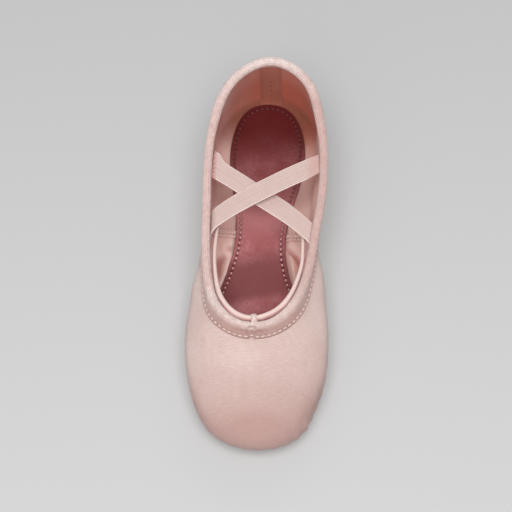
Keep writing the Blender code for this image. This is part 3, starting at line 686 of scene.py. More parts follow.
class Finish:
    """A Principled material put together from short node calls. Sizes are in millimetres."""

    def __init__(self, name, roughness, sheen=0.0, specular=0.25):
        self.material = bpy.data.materials.new(name)
        self.material.use_nodes = True
        self.tree = self.material.node_tree
        self.shader = self.tree.nodes["Principled BSDF"]
        self.shader.inputs["Roughness"].default_value = roughness
        self.shader.inputs["Specular IOR Level"].default_value = specular
        self.shader.inputs["Sheen Weight"].default_value = sheen
        self.shader.inputs["Sheen Roughness"].default_value = 0.45
        self.place = self.node("ShaderNodeTexCoord").outputs["Object"]
        cloth = self.node("ShaderNodeUVMap", uv_map="cloth").outputs["UV"]
        self.u, self.v = self.node("ShaderNodeSeparateXYZ", {0: cloth}).outputs[:2]

    def node(self, kind, inputs=None, **settings):
        made = self.tree.nodes.new(kind)
        for name, value in settings.items():
            setattr(made, name, value)
        for name, value in (inputs or {}).items():
            if isinstance(value, bpy.types.NodeSocket):
                self.tree.links.new(value, made.inputs[name])
            else:
                made.inputs[name].default_value = value
        return made

    def math(self, operation, first, second=0.0):
        return self.node("ShaderNodeMath", {0: first, 1: second}, operation=operation).outputs[0]

    def times(self, value, factor):
        return self.math("MULTIPLY", value, factor)

    def noise(self, size, detail=2.0, roughness=0.5, stretch=(1.0, 1.0, 1.0)):
        """Noise from 0 to 1 whose grains are about this many millimetres across."""
        scaled = self.node("ShaderNodeMapping", {"Vector": self.place, "Scale": stretch})
        return self.node("ShaderNodeTexNoise", {
            "Vector": scaled.outputs[0], "Scale": 1000.0 / size, "Detail": detail, "Roughness": roughness,
        }).outputs[0]

    def uneven(self, size, gain, detail=2.0, roughness=0.5):
        """Noise to either side of 0."""
        return self.times(self.math("SUBTRACT", self.noise(size, detail, roughness), 0.5), gain)

    def slubs(self, length, width):
        """Noise from 0 to 1 drawn out across the shoe, like thick places in the weft."""
        place = self.node("ShaderNodeCombineXYZ", {
            0: self.math("DIVIDE", self.u, length), 1: self.math("DIVIDE", self.v, width),
        }).outputs[0]
        return self.node("ShaderNodeTexNoise", {
            "Vector": place, "Scale": 1.0, "Detail": 2.0, "Roughness": 0.55,
        }).outputs[0]

    def range(self, value, low, high, to_low=0.0, to_high=1.0):
        """value's span from low to high, softly turned into another span."""
        return self.node("ShaderNodeMapRange", {
            "Value": value, "From Min": low, "From Max": high, "To Min": to_low, "To Max": to_high,
        }, interpolation_type="SMOOTHSTEP").outputs[0]

    def patches(self, size, low, high, detail=2.0, roughness=0.5):
        """Soft patches about this many millimetres across."""
        return self.range(self.noise(size, detail, roughness), low, high)

    def between(self, axis, low, high, to_high=1.0):
        """From 0 to to_high between two places along the shoe's axis."""
        place = self.node("ShaderNodeSeparateXYZ", {0: self.place}).outputs[axis]
        return self.range(place, low * MM, high * MM, 0.0, to_high)

    def layers(self, colour, *coats):
        """A colour under coats, each a share, a colour and a weight for the share, or None.

        Colours are sockets or three linear values.
        """
        for share, coat, weight in coats:
            if weight is not None:
                share = self.times(share, weight)
            first, second = (
                item if isinstance(item, bpy.types.NodeSocket) else (*item, 1.0) for item in (colour, coat)
            )
            colour = self.node("ShaderNodeMix", {0: share, 6: first, 7: second}, data_type="RGBA").outputs[2]
        return colour

    def hollows(self, height, low, high):
        """1 in the hollows of a height and 0 on its crests."""
        return self.math("SUBTRACT", 1.0, self.range(height, low, high))

    def wave(self, value, pitch):
        """A sine from -1 to 1 along one of the cloth's directions."""
        return self.math("SINE", self.times(value, 2 * math.pi / pitch))

    def weave(self, pitch):
        """Height of a plain weave: threads over and under each other, a little uneven."""
        drift = self.uneven(7.0, 1.0)
        u = self.wave(self.math("ADD", self.u, drift), pitch)
        v = self.wave(self.math("SUBTRACT", self.v, drift), pitch)
        return self.math("ADD", self.times(u, v), self.uneven(1.3, 2.6, 3.0, 0.6))

    def tag(self, name):
        return self.node("ShaderNodeAttribute", attribute_name=name).outputs["Fac"]

    def bump(self, height, depth, strength=1.0, under=None):
        inputs = {"Height": height, "Distance": depth * MM, "Strength": strength}
        if under is not None:
            inputs["Normal"] = under
        return self.node("ShaderNodeBump", inputs).outputs[0]

    def finish(self, colour, normal):
        self.tree.links.new(colour, self.shader.inputs["Base Color"])
        self.tree.links.new(normal, self.shader.inputs["Normal"])
        return self.material


def canvas_finish():
    """Fine cotton canvas, deeper in colour between its threads, and with painted shade where it is tagged."""
    made = Finish("canvas_cloth", roughness=0.92, sheen=0.25)
    weave, slubs, deep = made.weave(0.95), made.slubs(4.6, 0.9), made.tag("deep")
    plain = made.math("SUBTRACT", 0.24, made.times(deep, 0.17))
    # deep is painted shade; the patches, threads and slubs give the canvas's own uneven tone
    colour = made.layers(
        CANVAS_PALE, (deep, CANVAS_DEEP_AND_SHADE, None),
        (made.patches(26.0, 0.3, 0.7), CANVAS_DEEP_AND_SHADE, 0.26),
        (made.hollows(weave, -1.6, 1.2), CANVAS_DEEP_AND_SHADE, 0.30),
        (made.hollows(slubs, 0.28, 0.52), CANVAS_DEEP_AND_SHADE, 0.24),
        (made.range(slubs, 0.50, 0.75), CANVAS_SLUB, plain),
        (made.patches(0.9, 0.58, 0.74, 2.0, 0.7), CANVAS_FLECK, plain),
    )
    soft = made.bump(slubs, 0.09, 1.0, made.bump(made.noise(16.0), 0.6, 0.9))
    return made.finish(colour, made.bump(weave, 0.10, 1.0, soft))


def lining_finish():
    """The cotton inside, with painted shade and a painted warm glow of bounced light towards the heel cup,
    and painted shade low beside the insole and in its folds.
    """
    made = Finish("lining_cotton", roughness=0.95, sheen=0.08, specular=0.15)
    # deep is painted shade with warm bounced light, low and fold are painted shade; the patches are the
    # cotton's own uneven tone
    colour = made.layers(
        LINING_PALE, (made.tag("deep"), LINING_DEEP_AND_SHADE, None), (made.tag("low"), LINING_LOW_SHADE, 0.85),
        (made.tag("fold"), LINING_FOLD_SHADE, 0.80), (made.patches(18.0, 0.3, 0.7), LINING_DEEP_AND_SHADE, 0.22),
    )
    soft = made.bump(made.noise(11.0), 0.4, 0.9)
    return made.finish(colour, made.bump(made.weave(1.0), 0.08, 1.0, soft))


def binding_finish():
    """Fine twill tape: rows of small floats along the binding, furry at its crest, with a painted highlight
    on the crest and painted shade on the medial side and in its pits.
    """
    made = Finish("binding_twill", roughness=0.95, sheen=0.5)
    drift = made.uneven(5.0, 1.2)
    rows = made.wave(made.math("ADD", made.v, drift), 0.9)
    slanting = made.math("ADD", made.u, made.times(made.v, 0.8))
    floats = made.wave(made.math("ADD", slanting, drift), 1.35)
    height = made.math("ADD", rows, made.times(floats, 0.7))
    height = made.math("ADD", height, made.uneven(0.8, 3.2, 3.0, 0.7))
    # The crest's colour is brushed nap with a painted highlight, brightest at the heel and the throat
    brushed = made.layers(
        BINDING_BRUSHED_AND_LIT, (made.between("Y", 78.0, 116.0), BINDING_HEEL_HIGHLIGHT, None),
        (made.between("Y", -20.0, -45.0, 0.7), BINDING_HEEL_HIGHLIGHT, None),
    )
    # Painted shade: on the medial side, where the pair's other shoe would shade it, and in the pits and
    # folds; the patches are the twill's own uneven tone
    colour = made.layers(
        BINDING_THROAT, (made.between("Y", -46.0, -18.0), BINDING_FACE, None),
        (made.tag("crest"), brushed, None),
        (made.between("X", 12.0, 34.0, 0.30), BINDING_DEEP_AND_SHADE, None),
        (made.patches(6.0, 0.35, 0.68, 3.0), BINDING_DEEP_AND_SHADE, 0.20),
        (made.patches(2.2, 0.40, 0.66, 3.0, 0.6), BINDING_DEEP_AND_SHADE, 0.24),
        (made.hollows(height, -1.8, 1.4), BINDING_DEEP_AND_SHADE, 0.30),
        (made.tag("pit"), BINDING_PIT_SHADE, None),
    )
    soft = made.bump(made.noise(2.4, 3.0, 0.6), 0.55, 0.9)
    return made.finish(colour, made.bump(height, 0.11, 1.0, soft))


def suede_finish(name, pale, deep, pit, shaded):
    """Napped suede: brushed patches, a short nap and dark needle holes, with painted shade at the heel and
    front and painted light behind the straps.
    """
    made = Finish(name, roughness=0.97, sheen=0.25, specular=0.12)
    pale, deep = np.array(pale), np.array(deep)
    nap = made.noise(1.5, 4.0, 0.75)
    colour = made.layers(
        pale, (made.patches(13.0, 0.32, 0.70, 3.0, 0.6), deep, None),
        (made.range(nap, 0.36, 0.62), deep, 0.70),
        (made.patches(1.2, 0.56, 0.72, 3.0, 0.7), 0.55 * deep, 0.40),
        (made.patches(1.0, 0.58, 0.74, 2.0, 0.6), 1.4 * pale, 0.28),
        # dim and shade are painted shade, lit is painted light
        (made.tag("dim"), 0.62 * deep, 0.75),
        (made.tag("lit"), 1.55 * pale, 0.90),
        (made.tag("shade"), shaded, 0.94),
        (made.tag("pit"), pit, None),
    )
    soft = made.bump(made.noise(8.0, 3.0), 0.3, 0.9)
    return made.finish(colour, made.bump(nap, 0.22, 1.0, soft))


def elastic_finish():
    """Knitted elastic: fine stitches across each rib and a smooth bright edge."""
    made = Finish("ribbed_elastic", roughness=0.8, sheen=0.2)
    height = made.math("ADD", made.wave(made.u, 0.85), made.uneven(0.9, 2.0))
    worn = made.range(made.noise(6.0), 0.35, 0.65, 0.75, 1.0)
    # sewn is the under strap's sewn strip and painted shade at the over strap's ends
    colour = made.layers(
        ELASTIC_RIB, (made.tag("valley"), ELASTIC_VALLEY, worn), (made.tag("selvedge"), ELASTIC_EDGE, None),
        (made.tag("sewn"), ELASTIC_SEWN_AND_SHADE, None), (made.hollows(height, -1.2, 0.8), ELASTIC_VALLEY, 0.14),
    )
    return made.finish(colour, made.bump(height, 0.06))


def cord_finish():
    """The drawcord's thin canvas cover, with painted shade, deeper and pinker, on its lower side."""
    made = Finish("drawcord_cover", roughness=0.88, sheen=0.25)
    height = made.weave(0.8)
    patches = made.math("ADD", made.times(made.patches(14.0, 0.30, 0.60), 0.45), 0.55)
    # under is painted shade on the cord's lower side
    colour = made.layers(
        CORD_PALE,
        (made.tag("under"), CORD_PINK_SHADE, patches),
        (made.hollows(height, -1.6, 1.2), CORD_PINK_SHADE, 0.25),
    )
    return made.finish(colour, made.bump(height, 0.08))


def thread_finish(name, colour, heel=None):
    """Twisted sewing thread; heel is its colour at the back of the shoe, where painted shade darkens it."""
    made = Finish(name, roughness=0.6, sheen=0.1, specular=0.4)
    twist = made.noise(0.35, 1.0, 0.5, stretch=(1.0, 1.0, 2.0))
    # Painted shade towards the heel
    if heel:
        colour = made.layers(colour, (made.between("Y", 22.0, 70.0), heel, None))
    colour = made.layers(colour, (twist, THREAD_TWIST, 0.22))
    return made.finish(colour, made.bump(twist, 0.05))


def floor_finish():
    """The plain pale studio sweep; its glow is painted light that keeps the shadows on it pale, and it
    darkens further back, a painted fall-off of light.
    """
    made = Finish("studio_floor", roughness=0.85, specular=0.2)
    made.shader.inputs["Emission Color"].default_value = (1.0, 1.0, 1.0, 1.0)
    made.shader.inputs["Emission Strength"].default_value = FLOOR_GLOW
    # Painted fall-off of light: darker towards the back
    colour = made.layers(FLOOR_NEAR, (made.between("Y", -250.0, 300.0), FLOOR_FAR, None))
    return made.finish(colour, made.bump(made.noise(40.0), 0.01, 0.2))


# ---------------------------------------------------------------- upper

LEAST_WALL = 0.55       # thickness that is left where a crease meets a fold of the lining


def beside_insole(points):
    """How far outside the insole's edge each point lies, in plan."""
    outline = closed_spline([(*row, 0.0) for row in INSOLE_ROWS], 240)
    outward = -inward_normal(outline)[:, :2]
    flat = points[..., :2].reshape(-1, 2)
    apart = flat[:, None] - outline[:, :2]
    nearest = np.hypot(*apart.T).T.argmin(1)
    found = np.sum(apart[np.arange(len(flat)), nearest] * outward[nearest], 1)
    return found.reshape(points.shape[:-1])


def lining_slack(points, normals):
    """How far the loose lining stands off the canvas beside the insole, and how folded it is."""
    free = smoothstep(-0.5, 1.1, beside_insole(points)) * (1.0 - smoothstep(22.0, 30.0, points[..., 2]))
    slack = 1.8 * free * bell(points[..., 1], 4.0, 26.0)
    folds = free * creased(points - slack[..., None] * normals, LINING_CREASES, 0.3)
    # The second value, the folds' depth, is the mask of painted shade in the lining's folds
    return slack - folds, np.clip(folds / 2.4, 0.0, 1.0)


def arch_strip(bottom, columns, lift):
    """Rows of points below the arch, each from the lateral to the medial edge."""
    share = (np.arange(1, ARCH_SPANS) / ARCH_SPANS)[:, None]
    rows = np.array([bottom[column] + (bottom[-column] - bottom[column]) * share for column in columns])
    rows[..., 2] = SOLE_THICKNESS + SEAT + ground(rows[..., 1]) + lift
    return rows


def upper_painted_shade(skin):
    """Painted shade: how deep in colour the canvas and the lining are, and where the heel cup turns under."""
    x, y, z = np.moveaxis(skin.points, -1, 0)
    # Painted shade on the canvas: on its steep sides, down the toe's front and tip, on the medial ball where
    # the pair's other shoe would shade it, and in the dent on the medial toe
    upright = 1.0 - smoothstep(0.15, 0.92, skin.normals[..., 2])
    outside = 0.14 * smoothstep(28.0, 56.0, -y) + 0.42 * smoothstep(66.0, 98.0, -y)
    outside += 0.6 * smoothstep(94.0, 112.0, -y) * bell(x, 3.0, 24.0)
    outside += upright * (0.30 + 0.20 * smoothstep(60.0, 104.0, -y))
    outside += 0.20 * smoothstep(22.0, 36.0, x) * smoothstep(46.0, 72.0, -y)
    outside += 0.22 * bell(x, 31.0, 9.0) * bell(y, -100.0, 6.5)
    # Painted shade and warm bounced light in the lining: deepest in the heel cup, less up the walls and on
    # the lateral side, where more light falls; low is painted shade beside the insole in the heel cup
    cup = smoothstep(94.0, 110.0, y)
    high = smoothstep(14.0, 30.0, z) * (1.0 - cup) + 0.5 * smoothstep(24.0, 44.0, z) * cup
    lateral = smoothstep(0.0, 22.0, -x) * (0.60 - 0.35 * smoothstep(94.0, 108.0, y))
    inside = smoothstep(68.0, 100.0, y) * (1.0 - 0.45 * high - lateral)
    low = (1.0 - smoothstep(6.5, 14.5, z)) * smoothstep(76.0, 104.0, y)
    return np.clip(outside, 0.0, 1.0), inside, low


def make_upper(skin, canvas, lining):
    """The canvas wall and its lining, as one closed shell."""
    lowest = skin.height[0].min()
    depth = creased(skin.points, OUTER_CREASES) + pleated(skin)
    depth *= smoothstep(BINDING_DEPTH, BINDING_DEPTH + 3.0, skin.height[-1] - skin.height)
    depth *= smoothstep(lowest, lowest + 6.0, skin.height)
    slack, folded = lining_slack(skin.points - WALL * skin.normals, skin.normals)
    outer = skin.points - depth[..., None] * skin.normals
    inner = skin.points - np.maximum(WALL + slack, depth + LEAST_WALL)[..., None] * skin.normals
    levels, around = skin.points.shape[:2]

    columns = [
        column for column in range(1, around // 2)
        if ARCH_FRONT <= skin.points[0, column, 1] <= ARCH_BACK
    ]
    strip = arch_strip(outer[0], columns, 0.0)
    strip_inner = arch_strip(inner[0], columns, WALL)
    strip_slack, strip_folded = lining_slack(strip_inner, -UP)
    strip_inner[..., 2] += np.maximum(strip_slack, LEAST_WALL - WALL)
    faces = grid_faces(levels, around)
    width = ARCH_SPANS - 1
    starts = levels * around + width * np.arange(len(columns))
    rows = [
        [column, *range(start, start + width), around - column] for column, start in zip(columns, starts)
    ]
    for first, second in zip(rows, rows[1:]):
        for step in range(ARCH_SPANS):
            faces.append((second[step], first[step], first[step + 1], second[step + 1]))
    points, closed = shell(
        np.concatenate((outer.reshape(-1, 3), strip.reshape(-1, 3))),
        np.concatenate((inner.reshape(-1, 3), strip_inner.reshape(-1, 3))), faces,
    )
    outside, inside, low = upper_painted_shade(skin)
    flat = np.concatenate((skin.flat.reshape(-1, 2), strip.reshape(-1, 3)[:, :2]))
    none, half = np.zeros(strip.shape[:2]), np.full(strip.shape[:2], 0.5)
    # Tags of painted shade: deep on the canvas and in the lining's heel cup, low beside the insole there,
    # fold in the lining's folds
    piece = make_piece(
        "upper_canvas", points, closed, "upper", canvas, np.concatenate((flat, flat)), {
            "deep": strung(outside, half, inside, half),
            "low": strung(low, none, low, none),
            "fold": strung(0.0 * folded, none, folded, strip_folded),
        },
    )
    piece.data.materials.append(lining)
    indices = np.zeros(len(closed), np.int32)
    indices[len(faces):2 * len(faces)] = 1
    piece.data.polygons.foreach_set("material_index", indices)
    piece.data.update()
    return piece


# ---------------------------------------------------------------- collar binding

# Each leg: distance from the outer leg's free edge, and height over the canvas
OUTER_LEG = (
    (0.0, -0.1), (0.0, 0.42), (0.10, 0.70), (0.32, 0.88), (0.65, 0.84), (0.95, 0.60),
    (1.20, 0.50), (1.50, 0.62), (1.90, 0.90), (2.30, 1.04), (2.80, 1.12), (3.30, 1.18),
    (3.80, 1.25), (4.30, 1.34), (4.80, 1.44), (5.30, 1.54), (5.80, 1.64), (6.30, 1.72),
    (6.70, 1.76), (7.00, 1.79), (7.30, 1.80),
)
INNER_LEG = (
    (7.3, 1.80), (6.7, 1.68), (6.1, 1.48), (5.5, 1.24), (4.9, 1.02), (4.4, 0.84), (3.9, 0.66),
    (3.65, 0.52), (3.4, 0.70), (3.05, 0.82), (2.75, 0.72), (2.6, 0.42), (2.6, -0.1),
)
LEG_SPANS = 16          # of the canvas under the binding
STITCH_ROW = 6          # the outer leg's row that carries the stitches
# Marks of the gathered bud at the throat: along the edge, up the binding, size, depth (a swelling is
# negative) and darkness, which is painted shade in its dents
BUD_MARKS = (
    (-2.8, 4.5, 0.55, 0.28, 0.50), (0.1, 4.45, 0.50, 0.26, 0.50), (3.3, 4.6, 0.60, 0.28, 0.50),
    (5.0, 4.2, 0.50, 0.20, 0.40), (-5.2, 4.3, 0.55, 0.20, 0.40), (-7.4, 4.0, 0.5, 0.15, 0.3),
    (1.8, 3.2, 0.45, 0.20, 0.40), (-2.4, 2.9, 0.45, 0.20, 0.40), (7.3, 4.2, 0.5, 0.15, 0.3),
    (-1.2, 3.8, 0.60, -0.32, 0.0), (1.5, 4.0, 0.50, -0.22, 0.0), (-4.0, 3.9, 0.55, -0.22, 0.0),
    (4.1, 3.5, 0.55, -0.22, 0.0), (6.2, 3.9, 0.5, -0.18, 0.0), (-6.3, 3.7, 0.5, -0.18, 0.0),
)


def throat_place(skin):
    """Signed distance along the canvas edge from the throat's middle, and the edge's length."""
    top = skin.points[-1]
    run = lengths_along(ringed(top))
    near = slice(skin.around // 2 - 9, skin.around // 2 + 10)
    return run[:-1] - np.interp(THROAT_X, top[near, 0], run[near]), run[-1]


def knobs(along, distance):
    """The fluffy unevenness of the folded cloth."""
    return (
        ripple(along + 0.7 * distance, 2.9, 21.0) + ripple(along - 1.1 * distance, 3.7, 22.0)
        + 0.7 * math.sin(distance * 1.9 + 0.6) * ripple(along, 2.3, 23.0)
    )


def bud(along, distance):
    """Height and painted shade of the gathered bud and the arched fold over it, and its mound."""
    arch = bell(distance + 0.17 * along ** 2, 7.1, 0.75) * (1.0 - smoothstep(1.8, 3.0, np.abs(along)))
    mound = bell(along, 0.0, 2.0) * bell(distance, 5.3, 0.8)
    slit = bell(along, 0.0, 0.30) * (1.0 - smoothstep(2.4, 3.6, distance))
    level = 0.55 * mound - 0.45 * arch - 0.25 * slit
    dark = 0.48 * arch + 0.40 * slit
    for side, climb, size, depth, shade in BUD_MARKS:
        mark = bell(along, side, 1.7 * size) * bell(distance, climb, size)
        level -= depth * mark
        dark += shade * mark
    dark += 0.24 * bell(along, 0.0, 6.5) * bell(distance, 3.9, 1.5) * (1.0 - 0.8 * mound)
    return level, np.clip(dark, 0.0, 1.0), mound


def binding_rows(skin, along, beat):
    """The binding from its outer edge over the roll to its inner edge.

    Each row has its points, its distance up the cloth, how much of the brushed crest and its painted
    highlight it shows, and its painted shade in pits and folds.
    """
    points, normals = skin.points[-LEG_SPANS - 1:], skin.normals[-LEG_SPANS - 1:]
    edge_y = points[-1][:, 1]
    at_throat = 1.0 - smoothstep(-26.0, -8.0, edge_y)
    at_heel = smoothstep(62.0, 84.0, edge_y)
    groove = 0.5 + 0.5 * beat
    rows = []

    def add(place, *values):
        rows.append((place, *(value + np.zeros(skin.around) for value in values)))

    def on_leg(distance, height):
        at = np.clip(distance + 0.0 * beat, 0.0, BINDING_DEPTH) / BINDING_DEPTH * LEG_SPANS
        low = np.minimum(at.astype(int), LEG_SPANS - 1)
        share = (at - low)[:, None]
        column = np.arange(skin.around)
        place = points[low, column] * (1 - share) + points[low + 1, column] * share
        facing = normals[low, column] * (1 - share) + normals[low + 1, column] * share
        return place + height[:, None] * unit(facing)

    for distance, height in OUTER_LEG:
        near_edge = bell(distance, 0.0, 2.2)
        in_groove = bell(distance, BINDING_GROOVE, 0.42)
        in_pits = bell(distance, BINDING_PITS, 0.40)
        face = smoothstep(1.6, 2.6, distance)
        gathers = ripple(along + 0.4 * distance, 5.6, 3.0) * bell(distance, 3.0, 2.2)
        raised, dark, mound = bud(along, distance)
        level = height - 0.14 * in_groove * (1.0 - groove) + 0.06 * beat * near_edge
        level += face * (0.15 * gathers + 0.05 * knobs(along, distance) + raised) - 0.16 * in_pits * groove
        place = distance + (1.05 * bell(along, 0.0, 0.9) + 0.07 * beat) * near_edge
        # The crest colour, with its painted highlight, covers the leg's upper part and the bud's mound
        crest = np.clip(0.80 * smoothstep(4.0, 7.3, distance) + 0.45 * mound, 0.0, 1.0)
        # Painted shade in the puckers beside the stitches, under the binding's free edge and in the bud's
        # folds
        pit = in_groove * (1.0 - groove) ** 3 * (0.30 + 0.35 * at_throat) + 0.25 * in_pits * groove ** 2
        pit += 0.85 * bell(distance, 0.0, 0.16) + face * dark
        add(on_leg(place, level), distance, crest, np.clip(pit, 0.0, 1.0))

    top = CREST_HEIGHT + 0.75 * at_throat + 0.35 * at_heel
    top += 0.14 * ripple(along, 23.0, 1.0) + 0.07 * ripple(along, 5.1, 2.0)
    slope = skin.slope()
    for step in range(1, ROLL_STEPS):
        turned = step / ROLL_STEPS
        lean, lift = math.cos(math.pi * turned), math.sin(math.pi * turned)
        distance = BINDING_DEPTH + ROLL_WIDTH * turned
        half = ROLL_WIDTH / 2 + 0.75 * at_heel * (lean <= 0.0)
        fluff = 0.075 * knobs(along, distance) * lift ** 0.5
        place = points[-1] + (half * lean - WALL / 2)[:, None] * normals[-1]
        place += (top * lift ** 0.80)[:, None] * slope
        place += fluff[:, None] * unit(lean * normals[-1] + lift * slope)
        # The roll's inner side takes less of the lit crest colour, as painted shade; at the throat it also
        # takes painted shade in the gap to the drawcord
        crest = 0.80 + 0.20 * smoothstep(0.0, 0.30, turned) - 0.55 * smoothstep(0.62, 0.98, turned)
        add(place, distance, crest, 0.60 * smoothstep(0.78, 0.97, turned) * at_throat)

    for distance, height in INNER_LEG:
        swell = 0.75 * at_heel * smoothstep(3.9, 7.3, distance)
        # The inner leg: little of the crest colour, and painted shade under the roll at the throat
        add(
            on_leg(distance, -WALL - height - swell), 2 * BINDING_DEPTH + ROLL_WIDTH - distance,
            0.10 + 0.30 * smoothstep(4.3, 7.3, distance), 0.60 * smoothstep(5.5, 7.3, distance) * at_throat,
        )
    return [np.array(part) for part in zip(*rows)]


def make_binding(material, thread):
    """The folded twill over the edge of the opening, with its row of stitches."""
    skin = Skin(BINDING_AROUND, 2, 4, LEG_SPANS)
    along, total = throat_place(skin)
    count = round(total / BINDING_PITCH)
    beat = np.cos(2 * math.pi * along / (total / count))
    grid, across, crest, pit = binding_rows(skin, along, beat)
    size, around = across.shape
    run = np.broadcast_to(np.append(along, along[0] + total), (size, around + 1))
    cloth = np.stack((run, np.concatenate((across, across[:, :1]), 1)), -1)
    corners = np.stack([cloth[:-1, :-1], cloth[:-1, 1:], cloth[1:, 1:], cloth[1:, :-1]], 2)
    faces = np.array(grid_faces(size + 1, around)) % (size * around)
    make_piece(
        "collar_binding_twill", grid.reshape(-1, 3), faces.tolist(), "collar_binding", material,
        np.concatenate((corners.reshape(-1, 2), np.zeros((4 * around, 2)))), {"crest": crest, "pit": pit},
    )
    middle = int(np.abs(along).argmin())
    facings = skin.normals[-LEG_SPANS - 1 + 2]
    line, facings = (ringed(np.roll(item, -middle, 0)) for item in (grid[STITCH_ROW], facings))
    marks = np.arange(count) * lengths_along(line)[-1] / count
    run = stitch_run(line, facings, marks, 0.3)
    stitches("collar_binding_stitches", run, 2.15, 0.66, 0.14, thread, "binding")


# ---------------------------------------------------------------- drawcord and its loop

CORD_REACH = 21         # columns of the model's grid from the throat to each seam
CORD_SIDES = 28
CORD_SEAM = math.radians(250.0)
SHOE_MIDDLE = (2.0, 20.0, 0.0)
# The loop's way over the binding's roll and round the drawcord, in degrees
LOOP_OVER_ROLL = (12.0, 22.0, 33.0, 46.0, 60.0)
LOOP_ROUND_CORD = (105.0, 65.0, 25.0, -20.0, -65.0, -110.0, -145.0)


def drawcord_route(samples):
    """The drawcord's middle line, from the lateral to the medial seam."""
    top = closed_spline(UPPER_ROWS, COARSE[0])[:, 3:6]
    inward = inward_normal(top)
    throat = len(top) // 2
    route = []
    for column in range(throat - CORD_REACH, throat + CORD_REACH + 1):
        share = abs(column - throat) / CORD_REACH
        offsets = DRAWCORD_OFF_LATERAL if column < throat else DRAWCORD_OFF_MEDIAL
        point = top[column] + np.interp(share, *zip(*offsets)) * inward[column]
        point[2] -= DRAWCORD_DROP_THROAT + (DRAWCORD_DROP_SEAM - DRAWCORD_DROP_THROAT) * share ** 2
        route.append(point)
    return smooth_line(route, samples)


def from_middle(line):
    """How far each point of a line is from its middle, 1 at its ends."""
    run = lengths_along(line)
    return np.abs(2.0 * run / run[-1] - 1.0)


def make_drawcord(material):
    """The covered elastic: a soft tube with shallow wrinkles round it."""
    line = drawcord_route(420)
    near_throat = 1.0 - smoothstep(0.10, 0.55, from_middle(line))
    line = line - near_throat[:, None] * CORD_SETTLED
    run, apart = lengths_along(line), from_middle(line)
    even = DRAWCORD_DIAMETER / 2 + 0.30 * near_throat + 0.05 * ripple(run, 9.0, 5.0)
    even -= 0.42 * smoothstep(0.3, 0.75, apart) + 0.45 * smoothstep(0.80, 1.0, apart)
    angle = 2 * math.pi * np.arange(CORD_SIDES) / CORD_SIDES
    from_seam = np.angle(np.exp(1j * (angle - CORD_SEAM)))
    wrinkles = 0.035 * ripple(run[:, None] + 1.2 * np.sin(angle), 1.9, 6.0)
    radius = even[:, None] + wrinkles - 0.22 * bell(from_seam, 0.0, 0.16)
    heading = unit(np.gradient(line, axis=0))
    side = unit(np.cross(UP, heading))
    ring = np.cos(angle)[:, None] * side[:, None] + np.sin(angle)[:, None] * np.cross(heading, side)[:, None]
    points, faces = tube(line[:, None] + radius[..., None] * ring)
    # under is painted shade on the cord's lower, outer side
    outward = np.sign(np.sum(side * (line - SHOE_MIDDLE), 1))
    toward = np.cos(angle) * outward[:, None] - 0.5 * np.sin(angle)
    make_piece(
        "drawcord_cover", points, faces, "drawcord", material,
        cloth_grid(run, angle * DRAWCORD_DIAMETER / 2), {"under": smoothstep(-0.40, 0.55, toward)},
    )


def arc(centre, first, second, radii, degrees):
    """Points on an ellipse round a centre, at angles from its first axis to its second."""
    return [
        centre + radii[0] * math.cos(angle) * first + radii[1] * math.sin(angle) * second
        for angle in map(math.radians, degrees)
    ]


def make_loop(material):
    """The canvas loop at the throat: off the binding's roll and round the drawcord."""
    skin = Skin(*COARSE)
    throat = skin.around // 2
    normal, slope = skin.normals[-1][throat], skin.slope()[throat]
    line = drawcord_route(56)
    middle = len(line) // 2
    across = unit(line[middle + 1] - line[middle - 1])
    cord = line[middle] - CORD_SETTLED
    ring = DRAWCORD_DIAMETER / 2 + 0.38 + LOOP_THICKNESS / 2
    roll = (ROLL_WIDTH / 2 + 0.22, CREST_HEIGHT + 0.95)
    route = arc(skin.points[-1][throat] - WALL / 2 * normal, normal, slope, roll, LOOP_OVER_ROLL)
    route[0] = route[0] - 0.9 * normal
    route += arc(cord, unit(np.cross(UP, across)), UP, (ring, ring), LOOP_ROUND_CORD)
    path = smooth_line(route, 70)
    path -= np.outer((path - cord) @ across + LOOP_ASIDE, across)
    facing = unit(np.cross(across, np.gradient(path, axis=0)))
    run = lengths_along(path)
    share = run / run[-1]
    half_width = LOOP_WIDTH / 2 * (1.0 + 0.60 * bell(share, 0.0, 0.16)) - 0.38 * bell(share, 0.36, 0.10)
    half_width += 0.07 * ripple(run, 3.1, 8.0)
    half_thickness = LOOP_THICKNESS / 2 * (1.0 + 0.10 * ripple(run, 2.4, 9.0))
    angle = 2 * math.pi * np.arange(24) / 24
    wide = np.sign(np.cos(angle)) * np.abs(np.cos(angle)) ** 0.55
    tall = np.sign(np.sin(angle)) * np.abs(np.sin(angle)) ** 0.75
    points, faces = tube(
        path[:, None] + np.outer(half_width, wide)[..., None] * across
        + np.outer(half_thickness, tall)[..., None] * facing[:, None]
    )
    # The loop takes the binding's crest colour all over, with its painted highlight
    make_piece(
        "drawcord_tab", points, faces, "drawcord_loop", material,
        cloth_grid(run, 1.2 * angle), {"crest": np.ones(len(points))},
    )


# ---------------------------------------------------------------- crossed elastics

def edge_tables():
    """The canvas edge and the wall's slope there, by rising y, for the lateral and medial side."""
    skin = Skin(*COARSE)
    table = np.column_stack((skin.points[-1], skin.slope()))
    throat = skin.around // 2
    sides = {-1: table[throat - 1:0:-1], 1: table[throat + 1:]}
    return {side: rows[rows[:, 1] > -30.0] for side, rows in sides.items()}


def edge_at(edges, side, y):
    """The edge's place and slope at a y."""
    found = np.array([np.interp(y, edges[side][:, 1], column) for column in edges[side].T])
    return found[:3], found[3:]


